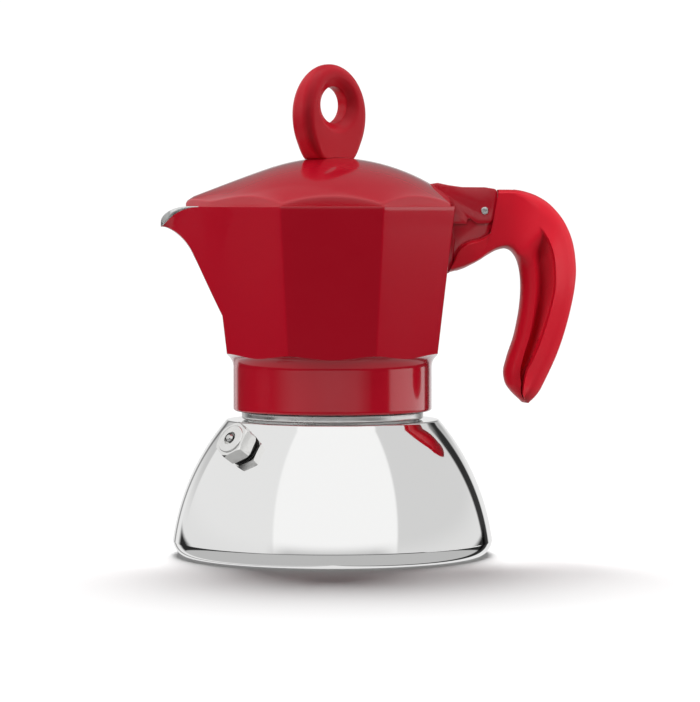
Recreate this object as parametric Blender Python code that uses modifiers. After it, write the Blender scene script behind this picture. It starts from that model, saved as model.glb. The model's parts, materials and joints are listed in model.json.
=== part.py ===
"""Octagonal stovetop moka pot for two cups, as an assembly of separate pieces.

Frame: metres, +Z up. The origin is on the pot's axis where the boiler meets the table.
+X points to the handle, -X to the spout, and a flat side of the jug faces -Y.
Sizes below are in millimetres; MM turns them into metres.
"""

import math

import bmesh
import bpy
from mathutils import Matrix, Vector

MM = 0.001
GAP = 0.3                      # left between pieces that touch

# Boiler
BASE_R = 45.0                  # flat foot
WALL_ARC_R = 71.5              # the side wall is an arc in profile
WALL_ARC_Z = -5.0              # height of that arc's centre
WALL_R = 49.55                 # widest radius of the arc
SHELL_T = 1.0                  # steel skin
LINER_T = 1.6                  # aluminium lining
SHOULDER_Z = 41.4              # flat top of the shoulder
SHOULDER_R = 32.0
NECK_R = 26.9                  # core of the threaded neck
NECK_BORE_R = 24.9
NECK_TOP_Z = 54.6
FLANGE_R = 27.8                # ring that shows under the collar
FLANGE_TOP_Z = 44.0

# Coffee funnel
BASKET_R = 24.4
BASKET_T = 0.8
BASKET_FLOOR_Z = 40.0
RIM_R = 26.6
STEM_R = 3.8
STEM_FOOT_Z = 8.5

# Jug (collector)
COLLAR_R = 30.4
COLLAR_BORE_R = 28.2
COLLAR_Z = 44.2
SEAL_SEAT_Z = 59.3
COLLAR_TOP_Z = 57.6
COVE_R = 4.4                   # hollow rounding between the collar and the octagon
JUG_FOOT_Z = 58.7
JUG_Z = 61.2                   # the octagon's size is given at this height and at the rim
JUG_APOTHEM = 31.85
RIM_Z = 106.6
RIM_APOTHEM = 37.1
JUG_T = 2.0
FLOOR_Z = 63.2
TAN_EIGHTH = math.tan(math.pi / 8)
ROOT_TWO = math.sqrt(2)

# Spout
SPOUT_FOOT_Z = 73.5
SPOUT_CURL_Z = 92.5            # the keel is straight up to here, then curls out
SPOUT_TIP_Z = 100.4
SPOUT_TIP_X = -52.5
SPOUT_SLOPE = 0.515
SPOUT_ROOT_X = -30.5           # where the spout's side leaves the facet, at the rim
SPOUT_HOLLOW = 1.2
LIP_TIP_Z = 101.7
LIP_FALL_X = -44.0             # the rim is level up to here

# Lid
LID_Z = 106.9
LID_APOTHEM = 35.8
DOME_R = 60.0
DOME_TOP_Z = 121.5
LID_T = 1.6
BEAK_X = -44.8
RIDGE_X, RIDGE_FALL = -20.5, 0.376   # the beak's straight ridge starts here

# Hinge, at the handle's side
PIN_X, PIN_Z, PIN_R = 46.4, 105.2, 1.0
TONGUE_HALF = 2.3
PAD_HALF = 4.6                 # the flat on the jug that the handle bears on
EAR_INNER, EAR_OUTER = 2.6, 5.2
HANDLE_HALF = 8.5

# Knob
KNOB_X = -1.0                  # the knob stands at the middle of the lid with its beak
KNOB_Z = 121.9
KNOB_TURN = math.radians(45)   # its face looks between the front and the handle
KNOB_HOLE_Z = 137.5
KNOB_HOLE_R = 5.6
KNOB_HALF = 4.3

# Safety valve
VALVE_TILT = math.radians(31)
VALVE_R, VALVE_Z = 37.8, 34.4  # where its axis leaves the boiler
VALVE_AZIMUTH = math.radians(225)
VALVE_HOLE_R = 3.8


# ---------------------------------------------------------------- scene and materials

def clear_scene():
    for old in list(bpy.data.objects):
        bpy.data.objects.remove(old)


def collection(name):
    made = bpy.data.collections.new(name)
    bpy.context.scene.collection.children.link(made)
    return made


def material(name, colour, roughness, metallic):
    made = bpy.data.materials.new(name)
    made.use_nodes = True
    shader = made.node_tree.nodes["Principled BSDF"]
    shader.inputs["Base Color"].default_value = (*colour, 1.0)
    shader.inputs["Roughness"].default_value = roughness
    shader.inputs["Metallic"].default_value = metallic
    return made


def add(name, mesh, finish, group):
    piece = bpy.data.objects.new(name, mesh)
    group.objects.link(piece)
    if finish is not None:
        mesh.materials.clear()
        mesh.materials.append(finish)
        mesh.shade_smooth()
        mesh.set_sharp_from_angle(angle=math.radians(35))
    return piece


# ---------------------------------------------------------------- shape helpers, in mm

def arc(centre, radius, start, end, steps):
    """Points on a circle, from one angle to another, in degrees."""
    angles = [math.radians(start + (end - start) * i / steps) for i in range(steps + 1)]
    return [(centre[0] + radius * math.cos(a), centre[1] + radius * math.sin(a)) for a in angles]


def turned(name, profile, finish, group, segments=48, closed=True):
    """A turned solid. The (radius, height) profile runs down its outer side."""
    mesh = bpy.data.meshes.new(name)
    count = len(profile)
    edges = [(i, i + 1) for i in range(count - 1)] + ([(count - 1, 0)] if closed else [])
    mesh.from_pydata([(r * MM, 0.0, z * MM) for r, z in profile], edges, [])
    piece = add(name, mesh, finish, group)
    screw = piece.modifiers.new("turn", "SCREW")
    screw.steps = screw.render_steps = segments
    screw.use_merge_vertices = True
    screw.merge_threshold = 0.00001
    screw.use_smooth_shade = finish is not None
    return piece


def plate(name, outline, half, finish, group, slope=0.0):
    """A flat outline of (x, z) points, extruded to y = -half..half."""
    curve = bpy.data.curves.new(name, "CURVE")
    curve.dimensions = "2D"
    curve.fill_mode = "BOTH"
    curve.extrude = half * MM
    spline = curve.splines.new("POLY")
    spline.points.add(len(outline) - 1)
    for point, (x, z) in zip(spline.points, outline):
        point.co = (x * MM, z * MM, 0.0, 1.0)
    spline.use_cyclic_u = True
    guide = bpy.data.objects.new(name + "_outline", curve)
    group.objects.link(guide)
    mesh = bpy.data.meshes.new_from_object(guide.evaluated_get(bpy.context.evaluated_depsgraph_get()))
    bpy.data.objects.remove(guide)
    edit = bmesh.new()
    edit.from_mesh(mesh)
    bmesh.ops.remove_doubles(edit, verts=edit.verts, dist=1e-7)
    bmesh.ops.transform(edit, matrix=Matrix.Rotation(math.pi / 2, 4, "X"), verts=edit.verts)
    bmesh.ops.recalc_face_normals(edit, faces=edit.faces)
    edit.to_mesh(mesh)
    edit.free()
    return add(name, mesh, finish, group)


def rod(name, start, end, radius, finish, group, segments=24, end_radius=None):
    """A round bar or cone between two points."""
    start, end = Vector(start) * MM, Vector(end) * MM
    edit = bmesh.new()
    bmesh.ops.create_cone(
        edit, cap_ends=True, segments=segments, depth=(end - start).length,
        radius1=radius * MM, radius2=(radius if end_radius is None else end_radius) * MM,
    )
    turn = (end - start).to_track_quat("Z", "Y").to_matrix().to_4x4()
    bmesh.ops.transform(edit, matrix=Matrix.Translation((start + end) / 2) @ turn, verts=edit.verts)
    mesh = bpy.data.meshes.new(name)
    edit.to_mesh(mesh)
    edit.free()
    return add(name, mesh, finish, group)


def box(name, low, high, group):
    edit = bmesh.new()
    bmesh.ops.create_cube(edit, size=1.0)
    low, high = Vector(low) * MM, Vector(high) * MM
    size = Matrix.Diagonal((*(high - low), 1.0))
    bmesh.ops.transform(edit, matrix=Matrix.Translation((low + high) / 2) @ size, verts=edit.verts)
    mesh = bpy.data.meshes.new(name)
    edit.to_mesh(mesh)
    edit.free()
    return add(name, mesh, None, group)


def loft(name, rings, finish, group):
    """A closed solid through rings of equally many points, bottom first, with flat ends."""
    edit = bmesh.new()
    made = [[edit.verts.new(Vector(p) * MM) for p in ring] for ring in rings]
    for lower, upper in zip(made, made[1:]):
        for i, start in enumerate(lower):
            j = (i + 1) % len(lower)
            edit.faces.new((start, lower[j], upper[j], upper[i]))
    edit.faces.new(made[0])
    edit.faces.new(made[-1])
    bmesh.ops.recalc_face_normals(edit, faces=edit.faces)
    mesh = bpy.data.meshes.new(name)
    edit.to_mesh(mesh)
    edit.free()
    return add(name, mesh, finish, group)


def boolean(piece, tool, operation="DIFFERENCE"):
    change = piece.modifiers.new(tool.name, "BOOLEAN")
    change.operation = operation
    change.object = tool
    tool.hide_render = True
    tool.display_type = "WIRE"


def merged(*pieces):
    """Boolean union of several objects, kept as the first one's mesh."""
    first, *others = pieces
    for other in others:
        boolean(first, other, "UNION")
    bpy.context.view_layer.update()
    mesh = bpy.data.meshes.new_from_object(first.evaluated_get(bpy.context.evaluated_depsgraph_get()))
    first.modifiers.clear()
    first.data = mesh
    for other in others:
        bpy.data.objects.remove(other)
    return first


def shallow_bevel(piece, width, angle=35, segments=2):
    bevel = piece.modifiers.new("edges", "BEVEL")
    bevel.width = width * MM
    bevel.segments = segments
    bevel.limit_method = "ANGLE"
    bevel.angle_limit = math.radians(angle)


# ---------------------------------------------------------------- boiler

def wall_radius(z, inset=0.0):
    """Radius of the boiler's side wall at a height, moved in along the arc's own radius."""
    reach = WALL_ARC_R - inset
    return WALL_R - WALL_ARC_R + math.sqrt(reach ** 2 - (z - WALL_ARC_Z) ** 2)


def wall_points(low, high, steps, inset):
    heights = [low + (high - low) * i / steps for i in range(steps + 1)]
    return [(wall_radius(z, inset), z) for z in heights]


def boiler_shell(finish, group):
    inner = [(0.0, 1.0), (BASE_R - 0.5, 1.0)] + wall_points(4.6, 39.4, 5, SHELL_T)
    inner += [(SHOULDER_R - 1.6, SHOULDER_Z - SHELL_T)]
    lip = [(NECK_BORE_R + 1.7, SHOULDER_Z - SHELL_T), (NECK_BORE_R + 1.7, SHOULDER_Z)]
    outer = [(SHOULDER_R - 0.4, SHOULDER_Z)] + wall_points(4.4, 40.6, 8, 0.0)[::-1]
    foot = [(48.2, 1.9), (46.8, 0.5), (BASE_R, 0.0), (0.0, 0.0)]
    return turned("boiler_shell", inner + lip + outer + foot, finish, group, 40, closed=False)


def boiler_liner(finish, group):
    skin = SHELL_T + GAP
    inner_skin = skin + LINER_T
    inner = [(0.0, 3.6), (BASE_R - 3.0, 3.6)] + wall_points(6.6, 36.4, 5, inner_skin)
    inner += [(NECK_BORE_R + 3.2, SHOULDER_Z - 3.0), (NECK_BORE_R, SHOULDER_Z - 3.4)]
    neck = [(NECK_BORE_R, NECK_TOP_Z), (NECK_R - 0.5, NECK_TOP_Z), (NECK_R, NECK_TOP_Z - 0.6)]
    neck += [(NECK_R, FLANGE_TOP_Z), (FLANGE_R - 0.5, FLANGE_TOP_Z), (FLANGE_R, FLANGE_TOP_Z - 0.6)]
    neck += [(FLANGE_R, SHOULDER_Z + GAP + 0.6), (FLANGE_R - 0.5, SHOULDER_Z + GAP)]
    throat = NECK_BORE_R + 1.4
    neck += [(throat, SHOULDER_Z + GAP), (throat, SHOULDER_Z - SHELL_T - GAP)]
    outer = [(SHOULDER_R - 2.2, SHOULDER_Z - SHELL_T - GAP)] + wall_points(4.9, 38.9, 5, skin)[::-1]
    foot = [(BASE_R - 0.9, 1.0 + GAP), (0.0, 1.0 + GAP)]
    return turned("boiler_liner", inner + neck + outer + foot, finish, group, 36, closed=False)


# ---------------------------------------------------------------- safety valve

def valve_axis():
    flat = math.cos(VALVE_TILT)
    return Vector((flat * math.cos(VALVE_AZIMUTH), flat * math.sin(VALVE_AZIMUTH), math.sin(VALVE_TILT)))


def on_valve(distance):
    """A point on the valve's axis, outward from the boiler's surface, in mm."""
    foot = Vector((VALVE_R * math.cos(VALVE_AZIMUTH), VALVE_R * math.sin(VALVE_AZIMUTH), VALVE_Z))
    return foot + valve_axis() * distance


def along_valve(piece):
    """Put a piece that was made about Z, with z = 0 at the boiler's surface, on the valve's axis."""
    turn = valve_axis().to_track_quat("Z", "Y").to_matrix().to_4x4()
    piece.matrix_world = Matrix.Translation(on_valve(0) * MM) @ turn
    return piece


def valve_parts(brass, rubber, steel, group, cutters):
    body = along_valve(rod("valve_body", (0, 0, 1.6), (0, 0, 5.6), 6.05, brass, group, 6))
    boolean(body, along_valve(rod("valve_stub", (0, 0, -7.0), (0, 0, 2.0), 3.4, None, cutters, 24)), "UNION")
    face = along_valve(turned(
        "valve_face",
        [(5.2, 5.75), (6.4, 4.9), (6.9, 6.6), (5.2, 6.6)][::-1], None, cutters, 24))
    bores = [(2.1, 4.4, 8.0), (1.45, 2.0, 5.0), (2.5, -9.0, 3.2)]
    boolean(body, face)
    for number, (radius, low, high) in enumerate(bores):
        name = f"valve_bore_{number}"
        boolean(body, along_valve(rod(name, (0, 0, low), (0, 0, high), radius, None, cutters)))

    ring = [(5.8, 1.3), (5.8, 0.5), (3.75, 0.5), (3.75, 1.3)]
    along_valve(turned("valve_gasket", ring, rubber, group, 32))
    retainer = [(2.2, -5.2), (2.2, -6.7), (0.9, -6.7), (0.9, -5.2)]
    along_valve(turned("valve_retainer", retainer, brass, group, 24))
    pin = [(0.0, 7.1), (0.75, 6.9), (1.2, 6.3), (1.3, 5.6), (1.3, -3.4), (2.2, -3.4), (2.2, -4.4), (1.2, -4.9),
           (0.0, -4.9)]
    along_valve(turned("valve_plunger", pin, steel, group, 20, closed=False))
    along_valve(coil("valve_spring", 1.9, 0.18, -3.0, 2.8, 6, steel, group))


def coil(name, radius, wire, low, high, turns, finish, group):
    """A compression spring about Z, as a welded tube."""
    curve = bpy.data.curves.new(name, "CURVE")
    curve.dimensions = "3D"
    curve.bevel_depth = wire * MM
    curve.bevel_resolution = 1
    curve.use_fill_caps = True
    steps = turns * 10
    spline = curve.splines.new("POLY")
    spline.points.add(steps)
    for i, point in enumerate(spline.points):
        angle = 2 * math.pi * turns * i / steps
        rise = low + wire + (high - low - 2 * wire) * i / steps
        point.co = (radius * MM * math.cos(angle), radius * MM * math.sin(angle), rise * MM, 1.0)
    guide = bpy.data.objects.new(name + "_line", curve)
    group.objects.link(guide)
    mesh = bpy.data.meshes.new_from_object(guide.evaluated_get(bpy.context.evaluated_depsgraph_get()))
    bpy.data.objects.remove(guide)
    edit = bmesh.new()
    edit.from_mesh(mesh)
    bmesh.ops.remove_doubles(edit, verts=edit.verts, dist=1e-7)
    edit.to_mesh(mesh)
    edit.free()
    return add(name, mesh, finish, group)


# ---------------------------------------------------------------- funnel, seal and filter

def hole_ring(radius, count):
    return [(radius * math.cos(2 * math.pi * i / count), radius * math.sin(2 * math.pi * i / count))
            for i in range(count)]


def perforated(name, radius, low, high, rings, finish, group, cutters):
    """A round sheet with rings of small holes."""
    disc = turned(name, [(0.0, high), (radius, high), (radius, low), (0.0, low)], finish, group, 40, closed=False)
    drills = []
    for number, (ring_radius, count) in enumerate(rings):
        for i, (x, y) in enumerate(hole_ring(ring_radius, count)):
            drill = rod(f"{name}_hole_{number}_{i}", (x, y, low - 1), (x, y, high + 1), 0.75, None, cutters, 6)
            drills.append(drill)
    with_all = drills[0]
    edit = bmesh.new()
    for drill in drills:
        edit.from_mesh(drill.data)
    edit.to_mesh(with_all.data)
    edit.free()
    for drill in drills[1:]:
        bpy.data.objects.remove(drill)
    boolean(disc, with_all)
    return disc


def funnel_parts(metal, group, cutters):
    rim_z = NECK_TOP_Z + GAP
    inner = BASKET_R - BASKET_T
    outer_side = [(RIM_R, rim_z + 0.8), (RIM_R, rim_z), (BASKET_R, rim_z), (BASKET_R, BASKET_FLOOR_Z)]
    outer_side += [(BASKET_R - 1.8, BASKET_FLOOR_Z - 1.8), (STEM_R + 1.1, 33.2), (STEM_R + 1.1, 30.0)]
    inner_side = [(STEM_R + GAP, 30.0), (STEM_R + GAP, 33.9), (inner - 1.8, BASKET_FLOOR_Z - 0.9)]
    inner_side += [(inner, BASKET_FLOOR_Z + 0.6), (inner, rim_z + 0.8)]
    turned("funnel_basket", outer_side + inner_side, metal, group, 36)
    tube = [(STEM_R, 33.0), (STEM_R, STEM_FOOT_Z), (STEM_R - 0.8, STEM_FOOT_Z), (STEM_R - 0.8, 33.0)]
    turned("funnel_stem", tube, metal, group, 24)
    holes = [(5.0, 6), (11.5, 10), (18.0, 16)]
    low = BASKET_FLOOR_Z + 1.0
    perforated("funnel_strainer", inner - 0.4, low, low + 0.5, holes, metal, group, cutters)


def seal_parts(rubber, metal, group, cutters):
    low = NECK_TOP_Z + 2 * GAP + 0.8
    high = SEAL_SEAT_Z - GAP
    ring = [(27.4, high - 0.4), (27.8, high - 0.8), (27.8, low + 0.8), (27.4, low + 0.2), (27.0, low)]
    ring += [(22.2, low), (21.6, low + 0.6), (21.6, high), (27.0, high)]
    turned("seal_ring", ring, rubber, group, 36)
    holes = [(5.0, 6), (10.5, 10), (16.0, 14)]
    perforated("filter_plate", 21.2, high - 0.7, high - 0.1, holes, metal, group, cutters)


# ---------------------------------------------------------------- jug

def apothem(z):
    """Half the jug's width across its flats at a height."""
    return JUG_APOTHEM + (RIM_APOTHEM - JUG_APOTHEM) * (z - JUG_Z) / (RIM_Z - JUG_Z)


def keel_x(z):
    """Where the spout's front is at a height: straight, then curled out to the tip."""
    if z <= SPOUT_FOOT_Z:
        return -apothem(z)
    foot = -apothem(SPOUT_FOOT_Z)
    straight = foot - SPOUT_SLOPE * (z - SPOUT_FOOT_Z)
    if z <= SPOUT_CURL_Z:
        return straight
    part = min(1.0, (z - SPOUT_CURL_Z) / (SPOUT_TIP_Z - SPOUT_CURL_Z))
    reach = SPOUT_TIP_X - (foot - SPOUT_SLOPE * (SPOUT_TIP_Z - SPOUT_FOOT_Z))
    return straight + reach * (1 - math.sqrt(1 - part ** 2))


def jug_section(z, inset=0.0, tip_inset=0.0):
    """Half outline of the jug at a height, front side, from the handle round to the spout.

    The spout's sides lie in the two slanting facets, carried on and slightly hollowed, and its
    front is the facet between them, pulled out to keel_x.
    """
    half = apothem(z) - inset
    corner = half * TAN_EIGHTH
    tip_x = min(-half, keel_x(min(z, SPOUT_TIP_Z)) + tip_inset)
    tip_y = -max(ROOT_TWO * half + tip_x, 0.9)
    points = [(half, -corner), (corner, -half), (-corner, -half)]
    rise = max(0.0, min(1.0, (z - SPOUT_FOOT_Z) / (RIM_Z - SPOUT_FOOT_Z)))
    root_x = -half + (half + SPOUT_ROOT_X) * rise
    for part in (0.4, 0.6, 0.75, 0.88):
        x, y = -corner + (tip_x + corner) * part, -half + (tip_y + half) * part
        along = max(0.0, (root_x - x) / max(1.0, root_x - tip_x))
        hollow = SPOUT_HOLLOW * rise * math.sin(math.pi * along) / ROOT_TWO
        points.append((x + hollow, y + hollow))
    return points + [(tip_x, tip_y), (tip_x, 0.0)]


def whole_ring(half_outline, height):
    """Mirror a half outline to the back and give each point its height."""
    back = [(x, -y) for x, y in half_outline[-2::-1]]
    return [(x, y, height(x)) for x, y in half_outline + back]


def lip_z(x):
    """Height of the rim: level, then rounded down to the spout's tip."""
    if x >= LIP_FALL_X:
        return RIM_Z
    part = min(1.0, (LIP_FALL_X - x) / (LIP_FALL_X - SPOUT_TIP_X))
    return LIP_TIP_Z + (RIM_Z - LIP_TIP_Z) * math.sqrt(1 - part ** 2)


def jug_solid(finish, group):
    rings = []
    for z in (JUG_FOOT_Z, SPOUT_FOOT_Z, 79.0, 86.0, SPOUT_CURL_Z, 96.0, 98.4, 99.7, SPOUT_TIP_Z):
        rings.append(whole_ring(jug_section(z), lambda x, z=z: z))
    rings.append(whole_ring(jug_section(RIM_Z), lip_z))
    inner_rim = jug_section(RIM_Z, JUG_T, 1.4)
    rings.append(whole_ring(inner_rim, lambda x: lip_z(x - 1.2)))
    for z in (99.6, 97.5, 94.0, 88.0, 80.0, 75.0, 66.0):
        rings.append(whole_ring(jug_section(z, JUG_T, 2.2), lambda x, z=z: z))
    rings.append(whole_ring(jug_section(FLOOR_Z, JUG_T + 1.5, 2.2), lambda x: FLOOR_Z))
    return loft("collector_body", rings, finish, group)


def bracket_outline():
    """Side outline of the plate that carries the hinge pin and the handle."""
    eye = arc((PIN_X, PIN_Z), 4.6, 165, 55, 8)
    return [(35.0, 106.0)] + eye + [(50.6, 107.8), (50.9, 104.6), (50.0, 101.6), (48.0, 99.2), (47.4, 96.4),
                                    (46.0, 94.9), (37.5, 90.6), (33.2, 88.4)]


def screw_line(distance):
    """A point on the handle screw's axis, outward from the bracket's lower edge, in mm."""
    slope = Vector((8.5, 0.0, 4.3)).normalized()
    outward = Vector((slope.z, 0.0, -slope.x))
    return Vector((42.0, 0.0, 92.87)) + outward * distance


def foot_cup(cutters):
    """Everything that the jug keeps where its foot sweeps in to the collar."""
    centre = COLLAR_R + COVE_R
    sweep = arc((centre, COLLAR_TOP_Z), COVE_R, 105, 180, 5)
    profile = [(0.0, 120.0), (70.0, 120.0), (70.0, 65.0)] + sweep + [(0.0, COLLAR_TOP_Z)]
    return turned("foot_cup", profile, None, cutters, 52, closed=False)


def collector_body(finish, group, cutters):
    jug = jug_solid(finish, group)
    boolean(jug, foot_cup(cutters), "INTERSECT")
    sleeve = [(COLLAR_R - 0.6, 60.2), (COLLAR_R, COLLAR_TOP_Z), (COLLAR_R, COLLAR_Z + 1.2),
              (COLLAR_R - 0.4, COLLAR_Z + 0.3)]
    sleeve += [(COLLAR_R - 1.2, COLLAR_Z), (COLLAR_BORE_R + 0.3, COLLAR_Z), (COLLAR_BORE_R, COLLAR_Z + 0.4)]
    sleeve += [(COLLAR_BORE_R, 60.2)]
    collar = turned("collar", sleeve, finish, cutters, 48)
    web = plate("bracket_plate", bracket_outline(), TONGUE_HALF, finish, cutters)
    pad_outline = [(33.5, 100.6), (36.9, 99.6), (37.3, 96.0), (36.6, 88.4), (35.6, 86.4), (33.2, 85.6)]
    pad = plate("bracket_pad", pad_outline, PAD_HALF, finish, cutters)
    body = merged(jug, collar, web, pad)
    body.data.materials.clear()
    body.data.materials.append(finish)
    under = [(0.0, FLOOR_Z - 1.4), (5.5, FLOOR_Z - 1.4), (20.6, SEAL_SEAT_Z + 0.9), (21.2, SEAL_SEAT_Z),
             (COLLAR_BORE_R, SEAL_SEAT_Z), (COLLAR_BORE_R, 50.0), (0.0, 50.0)]
    boolean(body, turned("underside", under, None, cutters, 48, closed=False))
    boolean(body, rod("column_hole", (0, 0, 55), (0, 0, 66), 4.9, None, cutters))
    boolean(body, rod("screw_hole", screw_line(-6.6), screw_line(1.0), 1.5, None, cutters, 16))
    boolean(body, rod("pin_hole", (PIN_X, -9, PIN_Z), (PIN_X, 9, PIN_Z), PIN_R + 0.06, None, cutters, 24))
    return body


def column_parts(metal, group, cutters):
    tube = [(3.6, 97.0), (3.6, 92.0), (4.5, FLOOR_Z + 1.8), (6.4, FLOOR_Z + 1.2), (6.4, FLOOR_Z + GAP)]
    tube += [(4.6, FLOOR_Z + GAP), (4.6, SEAL_SEAT_Z + 2.2), (3.0, SEAL_SEAT_Z + 2.2), (2.6, FLOOR_Z), (2.6, 97.0)]
    turned("coffee_column", tube, metal, group, 24)
    hood = [(0.0, 101.0), (3.4, 100.8), (4.6, 99.8), (4.8, 98.6), (4.8, 93.2), (3.9, 93.2), (3.9, 99.4), (0.0, 99.9)]
    cap = turned("column_cap", hood, metal, group, 24, closed=False)
    boolean(cap, box("cap_outlets", (-6.0, -1.5, 97.4), (6.0, 1.5, 99.2), cutters))


# ---------------------------------------------------------------- lid and knob

def lid_outline():
    """Half outline of the lid, front side: handle end, two corners, then the beak."""
    corner = LID_APOTHEM * TAN_EIGHTH
    return [
        (LID_APOTHEM, 0.0), (LID_APOTHEM, -corner / 2), (LID_APOTHEM, -corner),
        (LID_APOTHEM / 2 + corner / 2, -(LID_APOTHEM + corner) / 2), (corner, -LID_APOTHEM),
        (corner / 3, -LID_APOTHEM), (-corner / 3, -LID_APOTHEM), (-corner, -LID_APOTHEM),
        (-22.4, -28.2), (-30.0, -20.6), (-34.0, -16.2), (-37.2, -12.6), (-40.3, -8.4), (-43.6, -3.6),
        (-44.6, -1.6), (BEAK_X, 0.0),
    ]


def dome_z(x, y, inset=0.0):
    """The lid's top: a dome, or the straight ridge over the beak where that is higher."""
    reach = DOME_R - inset
    round_top = DOME_TOP_Z - DOME_R + math.sqrt(reach ** 2 - x * x - y * y)
    if x > RIDGE_X:
        return round_top
    start = DOME_TOP_Z - DOME_R + math.sqrt(reach ** 2 - RIDGE_X ** 2)
    ridge = start - RIDGE_FALL * (RIDGE_X - x)
    fall = 0.0105 + 0.000024 * max(0.0, -x - 22.0) ** 2.3
    nose = 0.9 * max(0.0, (-x - 42.2) / 2.6) ** 2
    return max(round_top, ridge - fall * y * y - nose)


def lid_cap(name, outline, floor_z, inset, finish, group):
    """A closed cap: flat underneath, following dome_z on top, over a star-shaped outline."""
    back = [(x, -y) for x, y in outline[-2:0:-1]]
    edge = outline + back
    edit = bmesh.new()
    steps = (0.0, 0.25, 0.5, 0.75, 0.9, 1.0)
    grid = []
    for part in steps[1:]:
        grid.append([edit.verts.new((x * part * MM, y * part * MM, dome_z(x * part, y * part, inset) * MM))
                     for x, y in edge])
    top = edit.verts.new((0.0, 0.0, dome_z(0.0, 0.0, inset) * MM))
    bottom = [edit.verts.new((x * MM, y * MM, floor_z * MM)) for x, y in edge]
    count = len(edge)
    for i in range(count):
        j = (i + 1) % count
        edit.faces.new((top, grid[0][i], grid[0][j]))
        for inner, outer in zip(grid, grid[1:]):
            edit.faces.new((inner[i], outer[i], outer[j], inner[j]))
        edit.faces.new((grid[-1][i], bottom[i], bottom[j], grid[-1][j]))
    edit.faces.new(bottom)
    bmesh.ops.recalc_face_normals(edit, faces=edit.faces)
    mesh = bpy.data.meshes.new(name)
    edit.to_mesh(mesh)
    edit.free()
    return add(name, mesh, finish, group)


def lid(finish, group, cutters):
    outline = lid_outline()
    cap = lid_cap("lid", outline, LID_Z, 0.0, finish, group)
    shrink = 1 - LID_T / LID_APOTHEM
    hollow = lid_cap("lid_hollow", [(x * shrink, y * shrink) for x, y in outline], LID_Z - 3.0, LID_T, None, cutters)
    boolean(cap, hollow)
    bpy.context.view_layer.update()
    cap.data = bpy.data.meshes.new_from_object(cap.evaluated_get(bpy.context.evaluated_depsgraph_get()))
    cap.modifiers.clear()

    arm_outline = [(29.0, 114.3), (33.0, 113.5), (37.0, 112.8), (42.0, 112.4), (47.5, 112.0), (49.6, 111.0),
                   (50.2, 109.2), (49.9, 106.2)]
    arm_outline += arc((PIN_X - 0.6, PIN_Z - 0.2), 3.9, -5, -100, 5)
    arm_outline += [(42.6, 102.4), (41.2, 104.4), (40.9, LID_Z), (35.2, LID_Z), (31.0, 110.4)]
    arm = plate("hinge_arm", arm_outline, EAR_OUTER, finish, cutters)
    shallow_bevel(arm, 0.6)
    cap = merged(cap, arm)
    cap.data.materials.clear()
    cap.data.materials.append(finish)
    slot_outline = [(36.5, 106.5), (40.4, 108.0), (41.0, 116.0), (56.0, 116.0), (56.0, 98.0), (36.5, 98.0)]
    boolean(cap, plate("ear_slot", slot_outline, EAR_INNER, None, cutters))
    boolean(cap, rod("lid_pin_hole", (PIN_X, -9, PIN_Z), (PIN_X, 9, PIN_Z), PIN_R + 0.06, None, cutters, 20))
    boolean(cap, rod("knob_hole", (KNOB_X, 0, 110), (KNOB_X, 0, 125), 1.9, None, cutters, 20))
    return cap


def hinge_pin(steel, group):
    head = EAR_OUTER + 0.1
    shaft = [(0.0, head + 0.3), (0.9, head + 0.25), (1.3, head), (PIN_R, head), (PIN_R, -head), (1.3, -head)]
    shaft += [(0.9, -head - 0.25), (0.0, -head - 0.3)]
    piece = turned("hinge_pin", shaft, steel, group, 20, closed=False)
    piece.matrix_world = Matrix.Translation((PIN_X * MM, 0, PIN_Z * MM)) @ Matrix.Rotation(math.pi / 2, 4, "X")
    return piece


def knob_outline():
    """The ring's outer outline: an egg, wide in the middle, with a flat foot."""
    half_width, top, middle, foot = 13.25, 150.0, 134.6, KNOB_Z
    points = []
    for i in range(28):
        angle = math.radians(-62 + (304) * i / 27)
        height = top - middle if math.sin(angle) > 0 else middle - 119.6
        points.append((half_width * math.cos(angle), middle + height * math.sin(angle)))
    return [(x, max(z, foot)) for x, z in points]


def knob(plastic, group, cutters):
    body = plate("knob", knob_outline(), KNOB_HALF, plastic, group)
    shallow_bevel(body, 2.4, 50, 3)
    turn = Matrix.Translation((KNOB_X * MM, 0, 0)) @ Matrix.Rotation(KNOB_TURN, 4, "Z")
    for side in (1, -1):
        dish = rod(f"knob_dish_{side}", (0, side * 1.9, KNOB_HOLE_Z), (0, side * 5.2, KNOB_HOLE_Z),
                   KNOB_HOLE_R + 0.4, None, cutters, 32, 8.8)
        dish.matrix_world = turn
        boolean(body, dish)
    through = rod("knob_through", (0, -9, KNOB_HOLE_Z), (0, 9, KNOB_HOLE_Z), KNOB_HOLE_R, None, cutters, 32)
    through.matrix_world = turn
    boolean(body, through)
    boolean(body, rod("knob_screw_hole", (KNOB_X, 0, 118), (KNOB_X, 0, 129.6), 1.7, None, cutters, 16))
    body.matrix_world = turn
    return body


def knob_fixings(steel, group):
    under = DOME_TOP_Z - LID_T - 0.6
    ring = [(3.6, under), (3.6, under - 0.6), (1.8, under - 0.6), (1.8, under)]
    turned("knob_washer", ring, steel, group, 24).location.x = KNOB_X * MM
    head = under - 0.6 - GAP
    screw = [(0.0, 129.0), (1.0, 129.0), (1.4, 128.4), (1.4, head), (2.8, head), (2.8, head - 0.8), (1.8, head - 1.6),
             (0.0, head - 1.6)]
    turned("knob_screw", screw, steel, group, 20, closed=False).location.x = KNOB_X * MM


# ---------------------------------------------------------------- handle

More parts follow.
